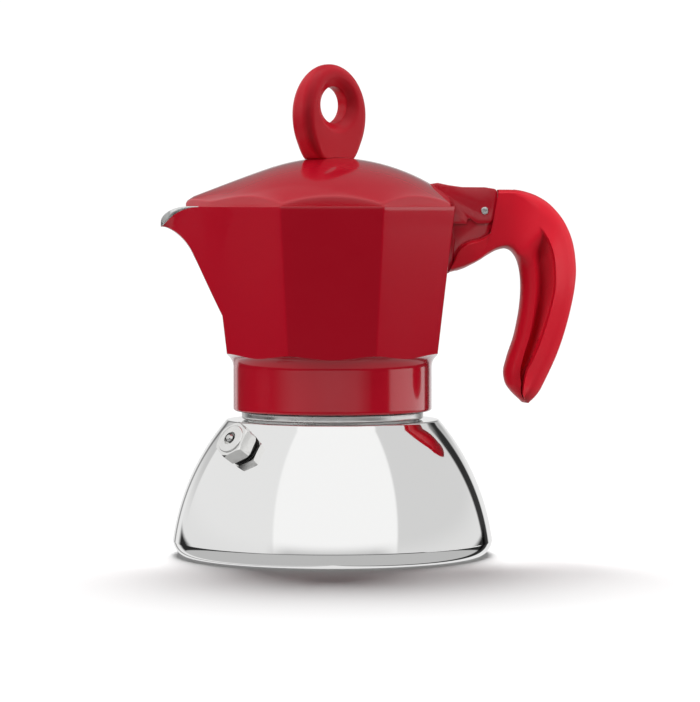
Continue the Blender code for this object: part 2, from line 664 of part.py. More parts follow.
def handle_outline():
    """Side outline of the handle, clockwise from its top edge by the lid."""
    spine = [(50.6, 111.8), (55.5, 111.7), (59.2, 111.0), (62.9, 109.6), (66.6, 107.1), (70.2, 103.0), (72.6, 98.4),
             (73.9, 93.8), (74.55, 88.5), (74.4, 84.0), (73.5, 78.0), (71.6, 70.0), (69.0, 62.0), (65.8, 54.8)]
    tip = [(62.6, 48.4), (60.9, 45.8), (59.6, 45.3), (57.4, 46.6)]
    grip = [(54.3, 49.8), (52.6, 53.2), (52.2, 57.4), (53.4, 61.4), (55.2, 67.0), (56.6, 73.6), (57.4, 81.0),
            (57.2, 86.0), (56.2, 90.4), (54.4, 93.0), (51.9, 93.8), (49.4, 92.9)]
    wedge = [(44.5, 89.9), (40.2, 87.7), (38.0, 86.9), (36.6, 86.6), (35.8, 87.2), (36.2, 88.8), (38.3, 93.4), (39.7, 95.1),
             (41.7, 96.1), (45.4, 97.0), (48.3, 98.8), (50.0, 101.4), (50.8, 104.2), (50.9, 107.6)]
    return spine + tip + grip + wedge


def handle(plastic, group, cutters):
    body = plate("handle", handle_outline(), HANDLE_HALF, plastic, group)
    shallow_bevel(body, 2.2, 50, 3)
    slot = [(30.0, 87.4), (37.5, 90.1), (46.2, 94.5), (47.9, 96.1), (48.5, 98.8), (50.5, 101.2), (51.4, 104.4),
            (51.4, 108.0), (30.0, 108.0)]
    boolean(body, plate("plate_room", slot, TONGUE_HALF + GAP, None, cutters))
    boolean(body, box("pad_room", (30, -PAD_HALF - GAP, 80), (37.7, PAD_HALF + GAP, 105), cutters))
    boolean(body, rod("handle_screw_hole", screw_line(-1.0), screw_line(6.0), 1.5, None, cutters, 16))
    boolean(body, rod("handle_head_room", screw_line(2.0), screw_line(8.0), 2.6, None, cutters, 20))
    boolean(body, box("ear_room", (30, -EAR_OUTER - 0.4, 98.6), (55.4, EAR_OUTER + 0.4, 120), cutters))
    return body


def handle_screw(steel, group):
    head = [(0.0, 3.6), (1.6, 3.6), (2.2, 3.0), (2.2, 2.3), (1.2, 2.3), (1.2, -5.6), (0.8, -6.0), (0.0, -6.0)]
    piece = turned("handle_screw", head, steel, group, 20, closed=False)
    turn = (screw_line(1) - screw_line(0)).to_track_quat("Z", "Y").to_matrix().to_4x4()
    piece.matrix_world = Matrix.Translation(screw_line(0) * MM) @ turn
    return piece


# ---------------------------------------------------------------- assembly

def build():
    clear_scene()
    group = collection("moka_pot")
    cutters = collection("cutters")
    red_paint = material("red_enamel", (0.36, 0.012, 0.02), 0.16, 0.0)
    red_plastic = material("red_plastic", (0.46, 0.018, 0.03), 0.42, 0.0)
    steel = material("polished_steel", (0.80, 0.80, 0.80), 0.10, 1.0)
    aluminium = material("aluminium", (0.82, 0.82, 0.82), 0.35, 1.0)
    nickel = material("nickel_brass", (0.74, 0.71, 0.66), 0.22, 1.0)
    rubber = material("black_rubber", (0.03, 0.03, 0.03), 0.7, 0.0)
    white_rubber = material("white_rubber", (0.75, 0.74, 0.70), 0.6, 0.0)

    shell = boiler_shell(steel, group)
    liner = boiler_liner(aluminium, group)
    wall_hole = rod("valve_hole", on_valve(-12), on_valve(8), VALVE_HOLE_R, None, cutters, 32)
    boolean(shell, wall_hole)
    boolean(liner, wall_hole)
    valve_parts(nickel, rubber, steel, group, cutters)
    funnel_parts(aluminium, group, cutters)
    seal_parts(white_rubber, aluminium, group, cutters)
    collector_body(red_paint, group, cutters)
    column_parts(aluminium, group, cutters)
    lid(red_paint, group, cutters)
    hinge_pin(steel, group)
    knob(red_plastic, group, cutters)
    knob_fixings(steel, group)
    handle(red_plastic, group, cutters)
    handle_screw(steel, group)


build()
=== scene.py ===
"""Looks of the moka pot: fine surfaces, materials, light and camera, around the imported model.

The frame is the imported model's own: metres, +Z up, +X to the handle, a flat side facing -Y.
Sizes below are in millimetres; MM turns them into metres.
"""

import json
import math

import bmesh
import bpy
import numpy as np
from mathutils import Matrix, Vector


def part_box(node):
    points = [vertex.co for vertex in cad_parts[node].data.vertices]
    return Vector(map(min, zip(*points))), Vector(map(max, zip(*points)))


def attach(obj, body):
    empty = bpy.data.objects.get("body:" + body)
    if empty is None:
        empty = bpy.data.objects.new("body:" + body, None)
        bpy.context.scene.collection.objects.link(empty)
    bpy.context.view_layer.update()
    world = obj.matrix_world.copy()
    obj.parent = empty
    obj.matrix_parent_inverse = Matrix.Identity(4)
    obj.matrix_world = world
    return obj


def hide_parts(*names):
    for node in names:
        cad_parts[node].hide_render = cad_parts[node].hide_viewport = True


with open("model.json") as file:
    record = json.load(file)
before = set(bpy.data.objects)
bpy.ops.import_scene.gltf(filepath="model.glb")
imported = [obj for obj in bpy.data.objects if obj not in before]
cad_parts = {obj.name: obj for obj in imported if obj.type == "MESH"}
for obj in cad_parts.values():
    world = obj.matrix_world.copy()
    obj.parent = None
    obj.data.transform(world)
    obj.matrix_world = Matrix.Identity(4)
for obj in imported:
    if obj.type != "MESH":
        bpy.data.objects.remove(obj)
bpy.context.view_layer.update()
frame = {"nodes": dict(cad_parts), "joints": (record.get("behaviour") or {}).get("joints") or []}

MM = 0.001
JOINTS = {joint["name"]: joint for joint in frame["joints"]}


def node_box(node):
    """A CAD node's lowest and highest corners, in mm."""
    low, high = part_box(node)
    return low / MM, high / MM


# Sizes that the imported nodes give
JUG_LOW, JUG_HIGH = node_box("collector_body")
LID_LOW, LID_HIGH = node_box("lid")
KNOB_LOW, KNOB_HIGH = node_box("knob")
SEAL_LOW, SEAL_HIGH = node_box("seal_ring")
HANDLE_HALF = node_box("handle")[1].y

GAP = 0.3
TAN_EIGHTH = math.tan(math.pi / 8)
ROOT_TWO = math.sqrt(2.0)
BIG_FACE = 8                   # a face with more corners than this is flat, so it is shaded flat

# Boiler
BASE_R = 45.0
WALL_ARC_R, WALL_ARC_Z, WALL_R = 71.5, -5.0, 49.55
SHELL_T, LINER_T = 1.0, 1.6
FOOT_Z = 4.4                   # where the wall turns in to the foot
SHOULDER_Z = node_box("boiler_shell")[1].z
SHOULDER_R = 32.0
NECK_R, NECK_BORE_R = 26.9, 24.9
NECK_TOP_Z = node_box("boiler_liner")[1].z
FLANGE_R, FLANGE_TOP_Z = 27.8, 44.0
THREAD_PITCH = 3.0
VALVE_HOLE_R = 3.8

# Jug
COLLAR_R, COLLAR_BORE_R = 30.4, 28.2
COLLAR_Z = JUG_LOW.z
COLLAR_TOP_Z = 57.6
COVE_R = 4.4                   # hollow rounding between the collar and the octagon
SEAL_SEAT_Z = SEAL_HIGH.z + GAP
JUG_Z, JUG_APOTHEM = 61.2, 31.85
RIM_Z, RIM_APOTHEM = 106.6, JUG_HIGH.y
JUG_T = 2.0
FLOOR_Z = 63.2
CORNER_R = 1.4
COLUMN_HOLE_R = 4.9
COLLAR_THREAD_Z = 46.0
FACET_LOW_Z = 64.2             # the facets' last level ring above the hollow rounding
INSIDE_TOP_Z = 99.0            # the last level ring inside, below the rim

# Spout
SPOUT_FOOT_Z, SPOUT_CURL_Z, SPOUT_TIP_Z = 73.5, 92.5, 100.4
SPOUT_SLOPE = 0.515
SPOUT_TIP_X = JUG_LOW.x
SPOUT_ROOT_X = -30.5           # where the spout's side leaves the facet, at the rim
SPOUT_HOLLOW = 1.2
LIP_TIP_Z, LIP_FALL_X = 101.7, -44.0
PAINT_END_X = -40.5            # beyond here the lip is ground bare

# Lid
LID_Z = LID_LOW.z
LID_APOTHEM = LID_HIGH.y
DOME_R, DOME_TOP_Z = 60.0, 121.5
LID_T = 1.6
RIDGE_X, RIDGE_FALL = -20.5, 0.376

# Hinge
PIN_X, PIN_Z = JOINTS["lid_hinge"]["pos_m"][0] / MM, JOINTS["lid_hinge"]["pos_m"][2] / MM
PIN_HOLE_R = 1.06
TONGUE_HALF = 2.3
EAR_INNER, EAR_OUTER = 2.6, 5.2

# Knob
KNOB_X = -1.0
KNOB_TURN = math.radians(45)
KNOB_PLACE = Matrix.Translation((KNOB_X * MM, 0, 0)) @ Matrix.Rotation(KNOB_TURN, 4, "Z")
KNOB_HOLE_Z, KNOB_HOLE_R = 137.5, 5.6
KNOB_HALF, KNOB_WEB = 4.3, 2.05
KNOB_DISH_R = 9.0


# ---------------------------------------------------------------- outlines, in mm

def arc(centre, radius, start, end, steps):
    """Points on a circle, from one angle to another, in degrees."""
    angles = [math.radians(start + (end - start) * i / steps) for i in range(steps + 1)]
    return [(centre[0] + radius * math.cos(a), centre[1] + radius * math.sin(a)) for a in angles]


def corner_arc(before, corner, after, radius, steps):
    """A corner of an outline, rounded. It always gives steps + 1 points."""
    corner = Vector(corner)
    back, ahead = Vector(before) - corner, Vector(after) - corner
    reach = min(back.length, ahead.length) * 0.48
    back.normalize()
    ahead.normalize()
    half_angle = back.angle(ahead, math.pi) / 2
    if half_angle > math.radians(88.5) or radius <= 0 or reach < 1e-6:
        return [tuple(corner)] * (steps + 1)
    tangent = min(reach, radius / math.tan(half_angle))
    true_radius = tangent * math.tan(half_angle)
    centre = corner + (back + ahead).normalized() * (true_radius / math.sin(half_angle))
    start, end = corner + back * tangent - centre, corner + ahead * tangent - centre
    turn = start.angle_signed(end)
    points = []
    for i in range(steps + 1):
        spoke = Matrix.Rotation(-turn * i / steps, 2) @ start
        points.append(tuple(centre + spoke))
    return points


def rounded(points, closed=False, steps=4):
    """An outline, rounded at each corner that carries a radius as its third value."""
    count = len(points)
    made = []
    for i, point in enumerate(points):
        radius = point[2] if len(point) > 2 else 0.0
        if (not closed and i in (0, count - 1)) or radius <= 0:
            made.append(tuple(point[:2]))
            continue
        made += corner_arc(points[i - 1][:2], point[:2], points[(i + 1) % count][:2], radius, steps)
    tidy = [made[0]]
    for point in made[1:]:
        if math.dist(point, tidy[-1]) > 0.004:
            tidy.append(point)
    return tidy


def curve_through(points, count):
    """Evenly spaced points on a smooth curve through the given ones."""
    knots = np.array(points, float)
    padded = np.vstack([2 * knots[0] - knots[1], knots, 2 * knots[-1] - knots[-2]])
    fine = []
    for i in range(1, len(padded) - 2):
        p0, p1, p2, p3 = padded[i - 1], padded[i], padded[i + 1], padded[i + 2]
        for t in np.linspace(0, 1, 24, endpoint=False):
            fine.append(0.5 * (2 * p1 + (p2 - p0) * t + (2 * p0 - 5 * p1 + 4 * p2 - p3) * t ** 2
                               + (3 * p1 - p0 - 3 * p2 + p3) * t ** 3))
    fine.append(padded[-2])
    fine = np.array(fine)
    run = np.concatenate([[0], np.cumsum(np.linalg.norm(np.diff(fine, axis=0), axis=1))])
    wanted = np.linspace(0, run[-1], count)
    return np.stack([np.interp(wanted, run, fine[:, k]) for k in range(fine.shape[1])], axis=1)


def smooth_step(low, high, value):
    part = np.clip((value - low) / (high - low), 0.0, 1.0)
    return part * part * (3 - 2 * part)


def soft_larger(first, second, blend):
    """The larger of two numbers, the change between them rounded over about blend."""
    return (first + second + math.sqrt((first - second) ** 2 + blend ** 2)) / 2


# ---------------------------------------------------------------- meshes

def finish_mesh(piece, materials, angle=32):
    mesh = piece.data
    numbers = np.zeros(len(mesh.polygons), np.int32)
    mesh.polygons.foreach_get("material_index", numbers)
    mesh.materials.clear()
    for each in materials:
        mesh.materials.append(each)
    mesh.polygons.foreach_set("material_index", numbers)
    mesh.shade_smooth()
    for face in mesh.polygons:
        if len(face.vertices) > BIG_FACE:
            face.use_smooth = False
    mesh.set_sharp_from_angle(angle=math.radians(angle))
    return piece


def grid(name, rows, materials, joined=False, caps=False, paint=None, angle=32):
    """A surface through rings of equally many (x, y, z) points in mm, closed round each ring.

    joined closes it from the last ring to the first, caps closes each end with a flat face.
    paint gives a face's material number from its row and column.
    """
    points = np.array(rows, float)
    height, around = points.shape[:2]
    mesh = bpy.data.meshes.new(name)
    faces, indices = [], []
    for row in range(height if joined else height - 1):
        above = (row + 1) % height
        for column in range(around):
            beside = (column + 1) % around
            faces.append((row * around + column, row * around + beside,
                          above * around + beside, above * around + column))
            indices.append(paint(row, column) if paint else 0)
    if caps:
        faces += [tuple(range(around))[::-1], tuple((height - 1) * around + i for i in range(around))]
        indices += [0, 0]
    mesh.from_pydata((points.reshape(-1, 3) * MM).tolist(), [], faces)
    mesh.polygons.foreach_set("material_index", indices)
    edit = bmesh.new()
    edit.from_mesh(mesh)
    bpy.data.meshes.remove(mesh)
    return built(name, edit, materials, angle)


def linked(name, data):
    thing = bpy.data.objects.new(name, data)
    bpy.context.scene.collection.objects.link(thing)
    return thing


def plain(name, edit):
    """An object from a bmesh as it is."""
    mesh = bpy.data.meshes.new(name)
    edit.to_mesh(mesh)
    edit.free()
    return linked(name, mesh)


def built(name, edit, materials, angle=32):
    """A finished piece from a bmesh: no doubled points, normals outwards."""
    bmesh.ops.remove_doubles(edit, verts=edit.verts, dist=2e-6)
    bmesh.ops.dissolve_degenerate(edit, edges=edit.edges, dist=1e-6)
    bmesh.ops.recalc_face_normals(edit, faces=edit.faces)
    return finish_mesh(plain(name, edit), materials, angle)


def circle_row(radii, z, angles):
    return np.stack([radii * np.cos(angles), radii * np.sin(angles), np.full(len(angles), z)], axis=1)


def turned(name, outline, materials, segments=128, closed=False, steps=4):
    """A turned piece from its (radius, height) outline, rounded where a corner carries a radius."""
    angles = np.arange(segments) * 2 * math.pi / segments
    rows = [circle_row(r, z, angles) for r, z in rounded(outline, closed, steps)]
    return grid(name, rows, materials, joined=closed)


def plate(name, outline, half, materials, bevel):
    """A flat (x, z) outline, extruded to y = -half..half, with its edges rounded."""
    edit = bmesh.new()
    front = [edit.verts.new((x * MM, -half * MM, z * MM)) for x, z in outline]
    face = edit.faces.new(front)
    moved = bmesh.ops.extrude_face_region(edit, geom=[face])
    verts = [v for v in moved["geom"] if isinstance(v, bmesh.types.BMVert)]
    bmesh.ops.translate(edit, verts=verts, vec=(0, 2 * half * MM, 0))
    if bevel > 0:
        rims = [e for e in edit.edges if len(e.link_faces) == 2
                and any(len(f.verts) > 4 for f in e.link_faces)]
        bmesh.ops.bevel(edit, geom=rims, offset=bevel * MM, segments=4, profile=0.5, affect="EDGES",
                        clamp_overlap=True)
    return built(name, edit, materials)


def rod(name, start, end, radius, materials, segments=48):
    start, end = Vector(start) * MM, Vector(end) * MM
    edit = bmesh.new()
    bmesh.ops.create_cone(edit, cap_ends=True, segments=segments, depth=(end - start).length,
                          radius1=radius * MM, radius2=radius * MM)
    turn = (end - start).to_track_quat("Z", "Y").to_matrix().to_4x4()
    bmesh.ops.transform(edit, matrix=Matrix.Translation((start + end) / 2) @ turn, verts=edit.verts)
    return built(name, edit, materials)


def box(name, low, high, materials):
    edit = bmesh.new()
    bmesh.ops.create_cube(edit, size=1.0)
    low, high = Vector(low) * MM, Vector(high) * MM
    size = Matrix.Diagonal((*(high - low), 1.0))
    bmesh.ops.transform(edit, matrix=Matrix.Translation((low + high) / 2) @ size, verts=edit.verts)
    return built(name, edit, materials)


def combine(piece, tools, operation, angle=32):
    """Join, cut or intersect the piece with each tool in turn; the tools are used up."""
    materials = list(piece.data.materials)
    for tool in tools:
        change = piece.modifiers.new(tool.name, "BOOLEAN")
        change.operation = operation
        change.object = tool
    bpy.context.view_layer.update()
    mesh = bpy.data.meshes.new_from_object(piece.evaluated_get(bpy.context.evaluated_depsgraph_get()))
    piece.modifiers.clear()
    piece.data = mesh
    for tool in tools:
        bpy.data.objects.remove(tool)
    return finish_mesh(piece, materials, angle)


def place(piece, matrix):
    """Move a piece's mesh, so that the object itself stays at the origin."""
    piece.data.transform(matrix)
    return piece


def show(piece, body, slot, *nodes):
    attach(piece, body)
    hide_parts(*nodes)
    return piece


# ---------------------------------------------------------------- materials

def math_node(tree, operation, *values):
    """A math node whose inputs are numbers or other nodes' outputs."""
    node = tree.nodes.new("ShaderNodeMath")
    node.operation = operation
    for socket, given in zip(node.inputs, values):
        if isinstance(given, (int, float)):
            socket.default_value = given
        else:
            tree.links.new(given, socket)
    return node.outputs[0]


class Paint:
    """A procedural material under construction: a shader, and nodes that read the piece's own place."""

    def __init__(self, name, colour, roughness, metallic=0.0, **settings):
        self.material = bpy.data.materials.new(name)
        self.material.use_nodes = True
        self.tree = self.material.node_tree
        self.shader = self.tree.nodes["Principled BSDF"]
        self.place = self.tree.nodes.new("ShaderNodeTexCoord").outputs["Object"]
        self.colour = colour
        self.shader.inputs["Base Color"].default_value = (*colour, 1.0)
        self.shader.inputs["Roughness"].default_value = roughness
        self.shader.inputs["Metallic"].default_value = metallic
        for socket, value in settings.items():
            self.shader.inputs[socket.replace("_", " ")].default_value = value

    def link(self, output, target):
        self.tree.links.new(output, target)

    def math(self, operation, *values):
        return math_node(self.tree, operation, *values)

    def around(self):
        """Radius from the pot's axis and height, for marks that run round a turned piece."""
        split = self.tree.nodes.new("ShaderNodeSeparateXYZ")
        self.link(self.place, split.inputs[0])
        squares = [self.math("POWER", output, 2.0) for output in split.outputs[:2]]
        join = self.tree.nodes.new("ShaderNodeCombineXYZ")
        self.link(self.math("SQRT", self.math("ADD", *squares)), join.inputs[0])
        self.link(split.outputs[2], join.inputs[1])
        return join.outputs[0]

    def noise(self, size, detail=2.0, coordinates=None):
        """Noise whose features are about size mm across."""
        node = self.tree.nodes.new("ShaderNodeTexNoise")
        node.inputs["Scale"].default_value = 1 / (size * MM)
        node.inputs["Detail"].default_value = detail
        self.link(coordinates or self.place, node.inputs["Vector"])
        return node.outputs[0]

    def ranged(self, noise, low, high):
        """A noise's middle part, spread over low to high."""
        node = self.tree.nodes.new("ShaderNodeMapRange")
        self.link(noise, node.inputs["Value"])
        for socket, number in zip(("From Min", "From Max", "To Min", "To Max"), (0.3, 0.7, low, high)):
            node.inputs[socket].default_value = number
        return node.outputs[0]

    def tint(self, noise, share, other):
        """Blend the base colour towards another, by up to share, where the noise is high."""
        mix = self.tree.nodes.new("ShaderNodeMix")
        mix.data_type = "RGBA"
        self.link(self.ranged(noise, 0.0, share), mix.inputs["Factor"])
        first, second = [socket for socket in mix.inputs if socket.type == "RGBA"]
        first.default_value = (*self.colour, 1.0)
        second.default_value = (*other, 1.0)
        result = next(socket for socket in mix.outputs if socket.type == "RGBA")
        self.link(result, self.shader.inputs["Base Color"])

    def rough(self, noise, low, high):
        self.link(self.ranged(noise, low, high), self.shader.inputs["Roughness"])

    def bump(self, noise, depth):
        """Raise the surface by the noise, depth in mm."""
        node = self.tree.nodes.new("ShaderNodeBump")
        node.inputs["Strength"].default_value = 1.0
        node.inputs["Distance"].default_value = depth * MM
        self.link(noise, node.inputs["Height"])
        self.link(node.outputs[0], self.shader.inputs["Normal"])


def red_enamel():
    paint = Paint("red_enamel", (0.43, 0.0035, 0.016), 0.22, Specular_IOR_Level=0.15, Coat_Weight=1.0,
                  Coat_Roughness=0.09, Coat_IOR=1.5)
    paint.tint(paint.noise(26.0), 0.35, (0.39, 0.003, 0.013))
    paint.rough(paint.noise(7.0), 0.19, 0.25)
    paint.bump(paint.noise(1.6, 1.0), 0.0025)
    return paint.material


def red_plastic():
    paint = Paint("red_plastic", (0.54, 0.006, 0.019), 0.36, Specular_IOR_Level=0.35)
    paint.tint(paint.noise(14.0), 0.4, (0.50, 0.005, 0.017))
    paint.rough(paint.noise(3.0), 0.33, 0.40)
    paint.bump(paint.noise(0.22, 3.0), 0.006)
    return paint.material


def polished_steel():
    paint = Paint("polished_steel", (0.90, 0.90, 0.895), 0.045, 1.0)
    paint.rough(paint.noise(9.0, 4.0), 0.035, 0.06)
    paint.bump(paint.noise(0.5, 3.0, paint.around()), 0.0006)
    return paint.material


def turned_aluminium():
    paint = Paint("turned_aluminium", (0.80, 0.80, 0.79), 0.3, 1.0)
    paint.tint(paint.noise(8.0, 4.0), 0.3, (0.66, 0.66, 0.65))
    paint.rough(paint.noise(5.0, 3.0), 0.24, 0.36)
    paint.bump(paint.noise(0.28, 4.0, paint.around()), 0.006)
    return paint.material


def cast_aluminium():
    paint = Paint("cast_aluminium", (0.90, 0.90, 0.89), 0.30, 1.0)
    paint.tint(paint.noise(6.0, 4.0), 0.35, (0.78, 0.78, 0.77))
    paint.rough(paint.noise(2.5, 4.0), 0.22, 0.34)
    paint.bump(paint.noise(0.5, 4.0), 0.012)
    return paint.material


def pressed_aluminium():
    paint = Paint("pressed_aluminium", (0.83, 0.83, 0.82), 0.28, 1.0)
    paint.tint(paint.noise(5.0, 3.0), 0.3, (0.70, 0.70, 0.69))
    paint.rough(paint.noise(4.0, 3.0), 0.22, 0.33)
    paint.bump(paint.noise(0.35, 4.0, paint.around()), 0.004)
    return paint.material


def nickel_brass():
    paint = Paint("nickel_plated_brass", (0.86, 0.86, 0.85), 0.14, 1.0)
    paint.tint(paint.noise(2.5, 4.0), 0.4, (0.74, 0.73, 0.71))
    paint.rough(paint.noise(1.2, 3.0), 0.11, 0.22)
    paint.bump(paint.noise(0.3, 3.0), 0.003)
    return paint.material


def fixing_steel():
    paint = Paint("fixing_steel", (0.74, 0.74, 0.73), 0.25, 1.0)
    paint.tint(paint.noise(1.5, 3.0), 0.4, (0.55, 0.55, 0.54))
    paint.rough(paint.noise(0.8, 3.0), 0.18, 0.32)
    paint.bump(paint.noise(0.15, 3.0), 0.003)
    return paint.material


def rubber(name, colour, worn):
    paint = Paint(name, colour, 0.62, Specular_IOR_Level=0.4)
    paint.tint(paint.noise(3.0, 4.0), 0.5, worn)
    paint.rough(paint.noise(1.5, 3.0), 0.55, 0.72)
    paint.bump(paint.noise(0.3, 4.0), 0.01)
    return paint.material


ENAMEL = red_enamel()
PLASTIC = red_plastic()
STEEL = polished_steel()
TURNED = turned_aluminium()
CAST = cast_aluminium()
PRESSED = pressed_aluminium()
NICKEL = nickel_brass()
FIXING = fixing_steel()
BLACK_RUBBER = rubber("black_rubber", (0.022, 0.022, 0.022), (0.045, 0.044, 0.042))
WHITE_RUBBER = rubber("white_rubber", (0.74, 0.72, 0.66), (0.66, 0.63, 0.56))
PAINTED_CAST = [ENAMEL, CAST]  # number 0 is the enamel outside, 1 the bare inside


# ---------------------------------------------------------------- boiler

def wall_radius(z, inset=0.0):
    reach = WALL_ARC_R - inset
    return WALL_R - WALL_ARC_R + math.sqrt(reach ** 2 - (z - WALL_ARC_Z) ** 2)


def wall_points(low, high, steps, inset):
    heights = np.linspace(low, high, steps + 1)
    return [(wall_radius(z, inset), z) for z in heights]


def thread_ridge(z, angle, low, high, depth, phase=0.0):
    """Height of a rounded screw thread, running out at both ends."""
    turn = z / THREAD_PITCH - angle / (2 * math.pi) + phase
    crest = np.maximum(0.0, np.cos(2 * math.pi * turn)) ** 0.8
    fade = smooth_step(low, low + 1.6, z) * (1 - smooth_step(high - 1.6, high, z))
    return depth * crest * fade


def boiler_shell():
    inner = [(0.0, SHELL_T), (BASE_R - 0.5, SHELL_T, 2.0)] + wall_points(4.6, 39.4, 24, SHELL_T)
    inner += [(SHOULDER_R - 1.6, SHOULDER_Z - SHELL_T)]
    lip = [(NECK_BORE_R + 1.7, SHOULDER_Z - SHELL_T, 0.0), (NECK_BORE_R + 1.7, SHOULDER_Z, 0.2)]
    outer = [(SHOULDER_R + 0.55, SHOULDER_Z, 1.4)] + wall_points(FOOT_Z + 0.15, 40.6, 40, 0.0)[::-1]
    start = 0.17               # the foot is an ellipse that begins at this turn, which leaves a faint edge
    turns = [start + 0.025] + list(np.linspace(start + 0.06, math.pi / 2, 14))
    reach = (wall_radius(FOOT_Z) - BASE_R) / math.cos(start)
    depth = FOOT_Z / (1 - math.sin(start))
    foot = [(wall_radius(FOOT_Z), FOOT_Z)]
    foot += [(BASE_R + reach * math.cos(turn), depth * (1 - math.sin(turn))) for turn in turns]
    foot += [(BASE_R - 1.0, 0.0), (0.0, 0.0)]
    shell = turned("boiler_steel", inner + lip + outer + foot, [STEEL], 192, steps=8)
    hole = rod("valve_hole", on_valve(-9), on_valve(5), VALVE_HOLE_R, [STEEL])
    combine(shell, [hole], "DIFFERENCE", 40)
    show(shell, "boiler", "polished_steel", "boiler_shell")


def boiler_liner():
    skin = SHELL_T + GAP
    inner_skin = skin + LINER_T
    inner = [(0.0, 3.6), (BASE_R - 3.0, 3.6, 3.0)] + wall_points(6.6, 36.4, 16, inner_skin)
    inner += [(NECK_BORE_R + 3.2, SHOULDER_Z - 3.0), (NECK_BORE_R, SHOULDER_Z - 3.4)]
    inner = rounded(inner)
    top = rounded([(NECK_BORE_R, 50.0), (NECK_BORE_R, NECK_TOP_Z, 0.4), (NECK_R, NECK_TOP_Z, 0.7),
                   (NECK_R, 53.0)])
    neck = [(NECK_R, z) for z in np.arange(53.0, FLANGE_TOP_Z + 0.4, -0.3)]
    low = [(NECK_R, FLANGE_TOP_Z + 0.3), (NECK_R, FLANGE_TOP_Z, 0.15), (FLANGE_R, FLANGE_TOP_Z, 0.9)]
    low += [(FLANGE_R, SHOULDER_Z + GAP, 0.9), (NECK_BORE_R + 1.4, SHOULDER_Z + GAP)]
    low = rounded(low, steps=6)
    throat = [(NECK_BORE_R + 1.4, SHOULDER_Z - SHELL_T - GAP)]
    outer = [(SHOULDER_R - 2.2, SHOULDER_Z - SHELL_T - GAP)] + wall_points(4.9, 38.9, 12, skin)[::-1]
    foot = [(BASE_R - 0.9, SHELL_T + GAP), (0.0, SHELL_T + GAP)]
    profile = inner + top + neck + low + throat + outer + foot
    segments = 144
    angles = np.arange(segments) * 2 * math.pi / segments
    first_thread = len(inner) + len(top)
    rows = []
    for number, (r, z) in enumerate(profile):
        if first_thread <= number < first_thread + len(neck):
            r = r + thread_ridge(z, angles, FLANGE_TOP_Z + 0.6, 53.2, 0.6)
        rows.append(circle_row(r, z, angles))
    liner = grid("boiler_lining", rows, [TURNED])
    hole = rod("liner_hole", on_valve(-12), on_valve(5), VALVE_HOLE_R, [TURNED])
    combine(liner, [hole], "DIFFERENCE", 40)
    show(liner, "boiler", "aluminium", "boiler_liner")


# ---------------------------------------------------------------- safety valve

VALVE_AXIS = Vector(JOINTS["valve_plunger_slide"]["axis"]).normalized()
VALVE_SURFACE = Vector((-37.8 / ROOT_TWO, -37.8 / ROOT_TWO, 34.4))   # where its axis leaves the boiler


def on_valve(distance):
    return VALVE_SURFACE + VALVE_AXIS * distance


def along_valve(piece):
    turn = VALVE_AXIS.to_track_quat("Z", "Y").to_matrix().to_4x4()
    return place(piece, Matrix.Translation(on_valve(0) * MM) @ turn)


def valve_body():
    nut = rod("valve_nut", (0, 0, 0.9), (0, 0, 5.6), 6.05, [NICKEL], 6)
    chamfer = turned("nut_chamfer", [(0.0, 0.0), (5.7, 0.0), (5.7, 1.0), (6.3, 1.4), (6.3, 5.1), (5.45, 5.62),
                                     (5.0, 7.0), (0.0, 7.0)], [NICKEL], 96)
    combine(nut, [chamfer], "INTERSECT")
    stub = turned("valve_stub", [(0.0, -7.0), (3.4, -7.0, 0.3), (3.4, 1.9), (0.0, 1.9)], [NICKEL], 48)
    face_ring = [(0.0, 5.0), (4.5, 5.0, 0.0), (4.5, 5.95, 0.3), (3.4, 6.25, 0.3), (0.0, 6.25)]
    ring = turned("valve_face", face_ring, [NICKEL], 64)
    combine(nut, [stub, ring], "UNION")
    bores = []
    for number, (radius, low, high) in enumerate([(2.1, 4.4, 8.0), (1.45, 2.0, 5.0), (2.5, -9.0, 3.2)]):
        bores.append(rod(f"valve_bore_{number}", (0, 0, low), (0, 0, high), radius, [NICKEL]))
    combine(nut, bores, "DIFFERENCE", 25)
    along_valve(nut)
    show(nut, "boiler", "nickel_brass", "valve_body")


def valve_small_parts():
    ring = [(5.2, 0.8, 0.2), (5.2, 0.15, 0.2), (3.75, 0.15, 0.1), (3.75, 0.8, 0.1)]
    washer = turned("valve_washer", ring, [BLACK_RUBBER], 64, closed=True)
    show(along_valve(washer), "boiler", "black_rubber", "valve_gasket")
    line = [(0.0, 7.1), (0.75, 7.02, 0.4), (1.3, 6.3, 0.5), (1.3, 5.2), (1.3, -3.4, 0.1), (2.2, -3.4, 0.15),
            (2.2, -4.4, 0.2), (1.2, -4.9, 0.2), (0.0, -4.9)]
    pin = turned("valve_pin", line, [FIXING], 48)
    show(along_valve(pin), "plunger", "steel_fixing", "valve_plunger")


def valve_spring():
    """A coil as long as the spring is when the plunger has lifted, so that the two never meet."""
    coil_r, wire_r, turns, low, high = 1.9, 0.18, 5, -1.65, 2.6
    steps, around = 24 * turns, 10
    rows = []
    for step in range(steps + 1):
        turn = 2 * math.pi * turns * step / steps
        outward = Vector((math.cos(turn), math.sin(turn), 0.0))
        middle = outward * coil_r + Vector((0.0, 0.0, low + (high - low) * step / steps))
        row = []
        for i in range(around):
            angle = 2 * math.pi * i / around
            row.append(middle + (outward * math.cos(angle) + Vector((0.0, 0.0, math.sin(angle)))) * wire_r)
        rows.append(row)
    coil = grid("valve_coil", rows, [FIXING], caps=True)
    show(along_valve(coil), "boiler", "steel_fixing", "valve_spring")


# ---------------------------------------------------------------- funnel, seal and filter

